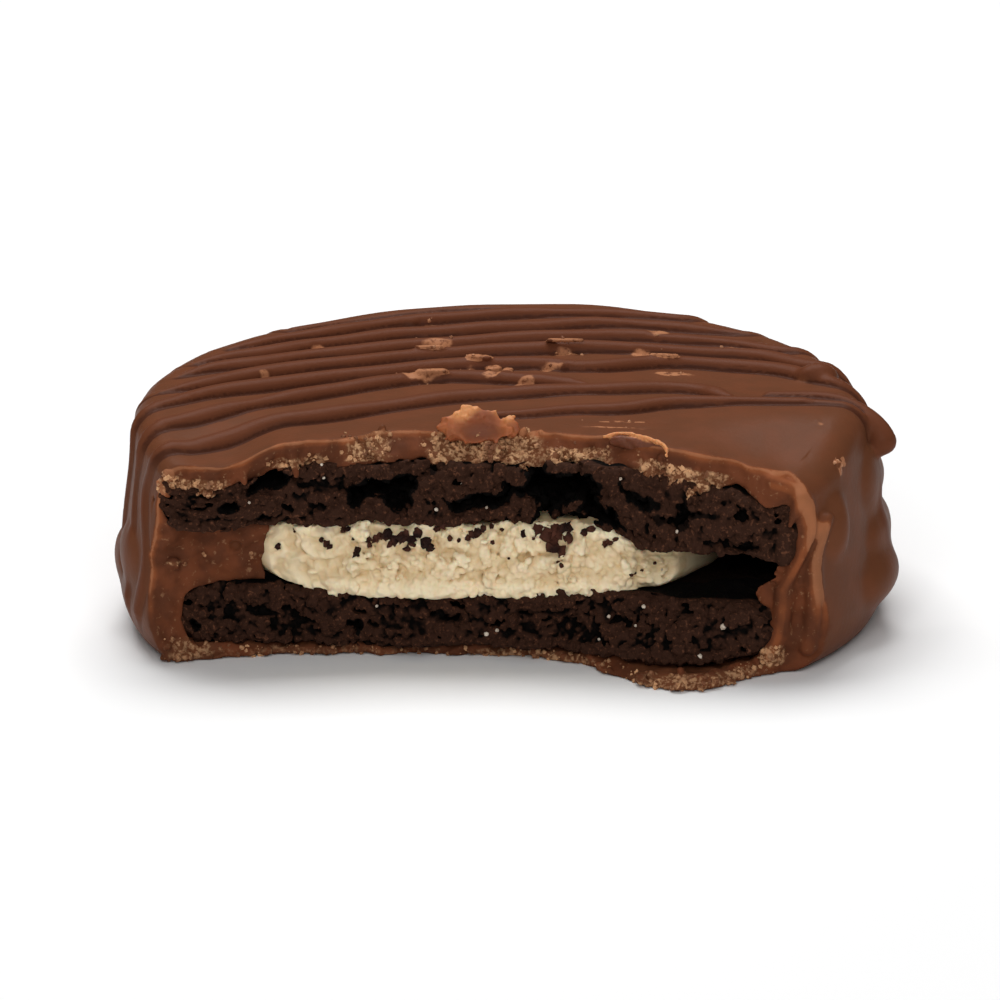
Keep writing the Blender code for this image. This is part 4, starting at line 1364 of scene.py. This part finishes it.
def buildScaleRim():
    fine = flake["fine"]
    axes = tuple(gridLine(low, high, low, high, fine, fine)
                 for low, high in ((6.4, 11.9), (-12.8, -8.4), (12.4, 14.8)))
    field = np.full([len(line) for line in axes], 3.0, dtype=np.float32)
    line = smoothLine(flake["scaleRim"], 0.25)
    swell = np.sin(np.linspace(0.35, 2.8, len(line)))
    addRope(field, axes, line, 0.07 + 0.05 * swell, 0.1)
    # the chip itself, a thin plate under its pale rim
    addLump(field, axes, (9.1, -9.75, 13.5), (1.6, 0.3, 0.42), turnAbout("Z", -12), 0.06)
    field += 0.04 * roughField(axes, 0.5, 311) + 0.03 * roughField(axes, 0.22, 312)
    piece = surfaceOf(field, axes, 9000, "liftedRim")
    points = pointsOf(piece.data)
    away = np.min(np.linalg.norm(points[:, None] - np.array(line)[None], axis=2), axis=1)
    addValue(piece.data, "edge", 0.95 - 0.95 * smoothStep(away, 0.14, 0.3))
    addValue(piece.data, "shade", smoothStep(away, 0.14, 0.3))
    print("lifted rim:", len(piece.data.polygons), "faces")
    return piece


# Crumbs and grains, scattered by Geometry Nodes

def addSocket(tree, name, kind, way="INPUT", value=None):
    socket = tree.interface.new_socket(name, in_out=way, socket_type="NodeSocket" + kind)
    if value is not None:
        socket.default_value = value
    return socket


def crumbTree(name, shapes, onFaces):
    # lumpy crumbs on the faces of a surface, or on each loose point of a mesh
    tree = bpy.data.node_groups.new(name, "GeometryNodeTree")
    addSocket(tree, "Geometry", "Geometry")
    for label, value in (("Per Square Metre", 1e6), ("Smallest", 0.0001), ("Largest", 0.0002),
                         ("Lumpiness", 0.5), ("Length", 1.0)):
        addSocket(tree, label, "Float", value=value)
    addSocket(tree, "Seed", "Int", value=1)
    addSocket(tree, "Material", "Material")
    addSocket(tree, "Geometry", "Geometry", "OUTPUT")
    nodes = Nodes(tree)
    source = nodes.add("NodeGroupInput").outputs
    if onFaces:
        share = nodes.add("GeometryNodeInputNamedAttribute", {"data_type": "FLOAT"}, Name="scatter")
        density = nodes.add("ShaderNodeMath", {"operation": "MULTIPLY"})
        nodes.feed(density.inputs[0], share.outputs[0])
        nodes.feed(density.inputs[1], source["Per Square Metre"])
        spots = nodes.add("GeometryNodeDistributePointsOnFaces", {"distribute_method": "RANDOM"},
                          Mesh=source["Geometry"], Density=density.outputs[0], Seed=source["Seed"])
    else:
        spots = nodes.add("GeometryNodeMeshToPoints", Mesh=source["Geometry"])
    lumps = nodes.add("GeometryNodeGeometryToInstance")
    for shape in range(shapes):
        ball = nodes.add("GeometryNodeMeshUVSphere", Radius=1.0, Segments=7, Rings=5)
        noise = nodes.add("ShaderNodeTexNoise", {"noise_dimensions": "4D"}, Scale=1.2, Detail=1.0,
                          W=3.7 * shape + 1.3)
        centred = nodes.add("ShaderNodeVectorMath", {"operation": "SUBTRACT"})
        nodes.feed(centred.inputs[0], noise.outputs["Color"])
        centred.inputs[1].default_value = (0.5, 0.5, 0.5)
        shifted = nodes.add("ShaderNodeVectorMath", {"operation": "SCALE"})
        nodes.feed(shifted.inputs[0], centred.outputs[0])
        nodes.feed(shifted.inputs["Scale"], source["Lumpiness"])
        moved = nodes.add("GeometryNodeSetPosition", Geometry=ball.outputs[0],
                          Offset=shifted.outputs[0])
        tree.links.new(moved.outputs[0], lumps.inputs[0])
    turn = nodes.add("FunctionNodeRandomValue", {"data_type": "FLOAT_VECTOR"})
    turn.inputs[0].default_value = (0, 0, 0)
    turn.inputs[1].default_value = (6.283, 6.283, 6.283)
    nodes.feed(turn.inputs["Seed"], source["Seed"])
    size = nodes.add("FunctionNodeRandomValue", {"data_type": "FLOAT"})
    nodes.feed(size.inputs[2], 0.0)
    nodes.feed(size.inputs[3], 1.0)
    nodes.feed(size.inputs["Seed"], source["Seed"])
    few = nodes.add("ShaderNodeMath", {"operation": "POWER"})
    nodes.feed(few.inputs[0], size.outputs[1])
    few.inputs[1].default_value = 2.0
    scaled = nodes.add("ShaderNodeMapRange")
    nodes.feed(scaled.inputs[0], few.outputs[0])
    nodes.feed(scaled.inputs[3], source["Smallest"])
    nodes.feed(scaled.inputs[4], source["Largest"])
    own = nodes.add("GeometryNodeInputNamedAttribute", {"data_type": "FLOAT"}, Name="size")
    picked = nodes.add("GeometryNodeSwitch", {"input_type": "FLOAT"})
    nodes.feed(picked.inputs[0], own.outputs["Exists"])
    nodes.feed(picked.inputs[1], scaled.outputs[0])
    nodes.feed(picked.inputs[2], own.outputs[0])
    longer = nodes.add("ShaderNodeMath", {"operation": "MULTIPLY"})
    nodes.feed(longer.inputs[0], picked.outputs[0])
    nodes.feed(longer.inputs[1], source["Length"])
    sides = nodes.add("ShaderNodeCombineXYZ")
    nodes.feed(sides.inputs[0], longer.outputs[0])
    nodes.feed(sides.inputs[1], picked.outputs[0])
    nodes.feed(sides.inputs[2], picked.outputs[0])
    crumbs = nodes.add("GeometryNodeInstanceOnPoints", Points=spots.outputs[0],
                       Instance=lumps.outputs[0], Rotation=turn.outputs[0], Scale=sides.outputs[0])
    crumbs.inputs["Pick Instance"].default_value = True
    real = nodes.add("GeometryNodeRealizeInstances", Geometry=crumbs.outputs[0])
    painted = nodes.add("GeometryNodeSetMaterial", Geometry=real.outputs[0],
                        Material=source["Material"])
    out = nodes.add("NodeGroupOutput")
    nodes.feed(out.inputs[0], painted.outputs[0])
    return tree


facesTree = crumbTree("crumbsOnFaces", 4, True)
pointsTree = crumbTree("crumbsOnPoints", 4, False)


def scatter(name, mesh, tree, material, slotName, **values):
    carrier = bpy.data.objects.new(name + "Carrier", mesh)
    bpy.context.scene.collection.objects.link(carrier)
    modifier = carrier.modifiers.new("Crumbs", "NODES")
    modifier.node_group = tree
    sockets = {item.name: item.identifier for item in tree.interface.items_tree
               if item.item_type == "SOCKET" and item.in_out == "INPUT"}
    for key, value in values.items():
        modifier[sockets[key.replace("_", " ")]] = value
    modifier[sockets["Material"]] = material
    graph = bpy.context.evaluated_depsgraph_get()
    made = bpy.data.meshes.new_from_object(carrier.evaluated_get(graph))
    made.name = name
    bpy.data.objects.remove(carrier, do_unlink=True)
    for attribute in [item.name for item in made.attributes if item.name in ("scatter", "size")]:
        made.attributes.remove(made.attributes[attribute])
    made.materials.clear()
    made.materials.append(material)
    piece = bpy.data.objects.new(name, made)
    bpy.context.scene.collection.objects.link(piece)
    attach(piece, "root")
    print(name + ":", len(made.polygons), "faces")
    return piece


def withScatter(mesh, name):
    # a copy of a mesh whose scatter value is one of its own values
    copy = mesh.copy()
    values = np.empty(len(mesh.vertices), dtype=np.float32)
    mesh.attributes[name].data.foreach_get("value", values)
    addValue(copy, "scatter", values)
    return copy


def looseSpots(spots, pieces, name):
    # points where lines of sight through places on the middle of the break meet the pieces
    camera = bpy.context.scene.camera.matrix_world.translation
    graph = bpy.context.evaluated_depsgraph_get()
    points, sizes = [], []
    for x, z, size in spots:
        aim = (Vector((x + axisX, -10.5 + axisY, z))) * mm
        way = (aim - camera).normalized()
        best = None
        for piece in pieces:
            hit, spot, _, _ = piece.ray_cast(camera, way, depsgraph=graph)
            if hit and (best is None or (spot - camera).length < (best - camera).length):
                best = spot
        if best is not None:
            points.append(best - way * size * 0.35 * mm)
            sizes.append(size * mm)
    mesh = bpy.data.meshes.new(name)
    mesh.from_pydata(points, [], [])
    addValue(mesh, "size", sizes)
    return mesh


# Sugar grains on the wafers and dark crumbs on the filling: place across the break, height, size.
sugarSpots = [
    (-9.6, 12.2, .1), (-9.5, 11.4, .1), (-14, 9.8, .09), (-2.8, 9.5, .12), (.2, 9.65, .1),
    (-1.25, 11.1, .1), (8.2, 11.5, .1), (11.55, 8.3, .13), (.1, 4.35, .13), (3.3, 4.3, .1),
    (-6.5, 3.45, .1), (.05, 1.75, .14), (.7, 2, .12), (9.5, 3.6, .14), (7.4, 2.95, .12),
    (14.2, 2.4, .2), (12.8, .5, .19), (9, 2.4, .09), (6.8, 1.5, .1), (10.6, 5.9, .08),
]
darkSpots = [
    (-12.35, 7.1, .2), (-9.7, 7.5, .17), (-9.45, 7.3, .2), (-9.2, 7.1, .16), (-8.4, 8.2, .2),
    (-8.15, 8.2, .16), (-7.6, 6.9, .2), (-7.65, 6.65, .2), (-6.85, 7.25, .16), (-7.8, 7.6, .1),
    (-6.9, 7.6, .2), (-6.5, 7.7, .22), (-6.2, 7.8, .2), (-5.8, 7.9, .34), (-5.3, 7.6, .3),
    (-4.8, 7.9, .36), (-4.3, 7.5, .34), (-4.0, 8.0, .34), (-3.5, 7.5, .3), (-3.3, 7.1, .26),
    (-4.6, 7.1, .22), (-5.6, 7.3, .2), (-2, 7.7, .15), (-1.5, 7.6, .13), (-1, 7.8, .2), (-.7, 8, .22),
    (-.35, 8.1, .24), (0, 8.3, .2), (.5, 8.5, .15), (.5, 7.5, .14), (2.35, 8.1, .15), (2.35, 7.9, .13),
    (3, 7.75, .12), (1.5, 6.5, .08), (3.3, 8.3, .36), (3.8, 7.9, .42), (4.3, 8.2, .45),
    (4.1, 7.3, .38), (4.6, 7.0, .32), (5.0, 7.8, .34), (4.9, 8.4, .4), (4.6, 6.1, .13), (4.4, 6.3, .1),
    (7.2, 7.5, .18), (7.5, 7.6, .22), (7.85, 7.75, .16), (8.8, 5.55, .11), (9.0, 5.65, .09),
    (9.4, 5.85, .1), (10.2, 6.3, .1), (13.1, 5.95, .09), (-11.3, 8.1, .12), (-10.6, 8.4, .1),
    (6.0, 8.2, .2), (6.4, 8.4, .24), (-2.8, 8.3, .2), (-2.4, 8.5, .18), (1.1, 8.3, .12),
]

chips = flakeMaterial()
for piece in (place(buildFlake()), place(buildScaleRim())):
    piece.data.materials.append(chips)
    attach(piece, "root")

tanCrumb = crumbMaterial("tanCrumb", linear(120, 74, 47), linear(208, 158, 114), 0.7)
darkCrumb = crumbMaterial("cocoaCrumb", linear(34, 18, 14), linear(78, 44, 32), 0.85, 0.15)
sugar = crumbMaterial("sugarGrain", linear(178, 160, 140), linear(222, 208, 190), 0.35, 0.5)
milkCrumb = crumbMaterial("milkCrumb", linear(132, 80, 52), linear(192, 138, 100), 0.6)

scatter("breakCrumbs", withScatter(coating.data, "crumbly"), facesTree, tanCrumb, "milk_chocolate",
        Per_Square_Metre=1.5e7, Smallest=0.00003, Largest=0.00018, Lumpiness=2.4, Seed=5)
scatter("topCrumbs", withScatter(coating.data, "scuffed"), facesTree, milkCrumb, "milk_chocolate",
        Per_Square_Metre=2.5e6, Smallest=0.00003, Largest=0.00014, Lumpiness=2.2, Seed=9)
scatter("sugarGrains", looseSpots(sugarSpots, (topWafer, bottomWafer, creamPiece, coating), "sugarSpots"),
        pointsTree, sugar, "cream_filling", Lumpiness=0.9, Seed=3)
scatter("creamCrumbs", looseSpots(darkSpots, (creamPiece, topWafer), "darkSpots"),
        pointsTree, darkCrumb, "dark_wafer", Lumpiness=2.5, Length=1.3, Seed=4)
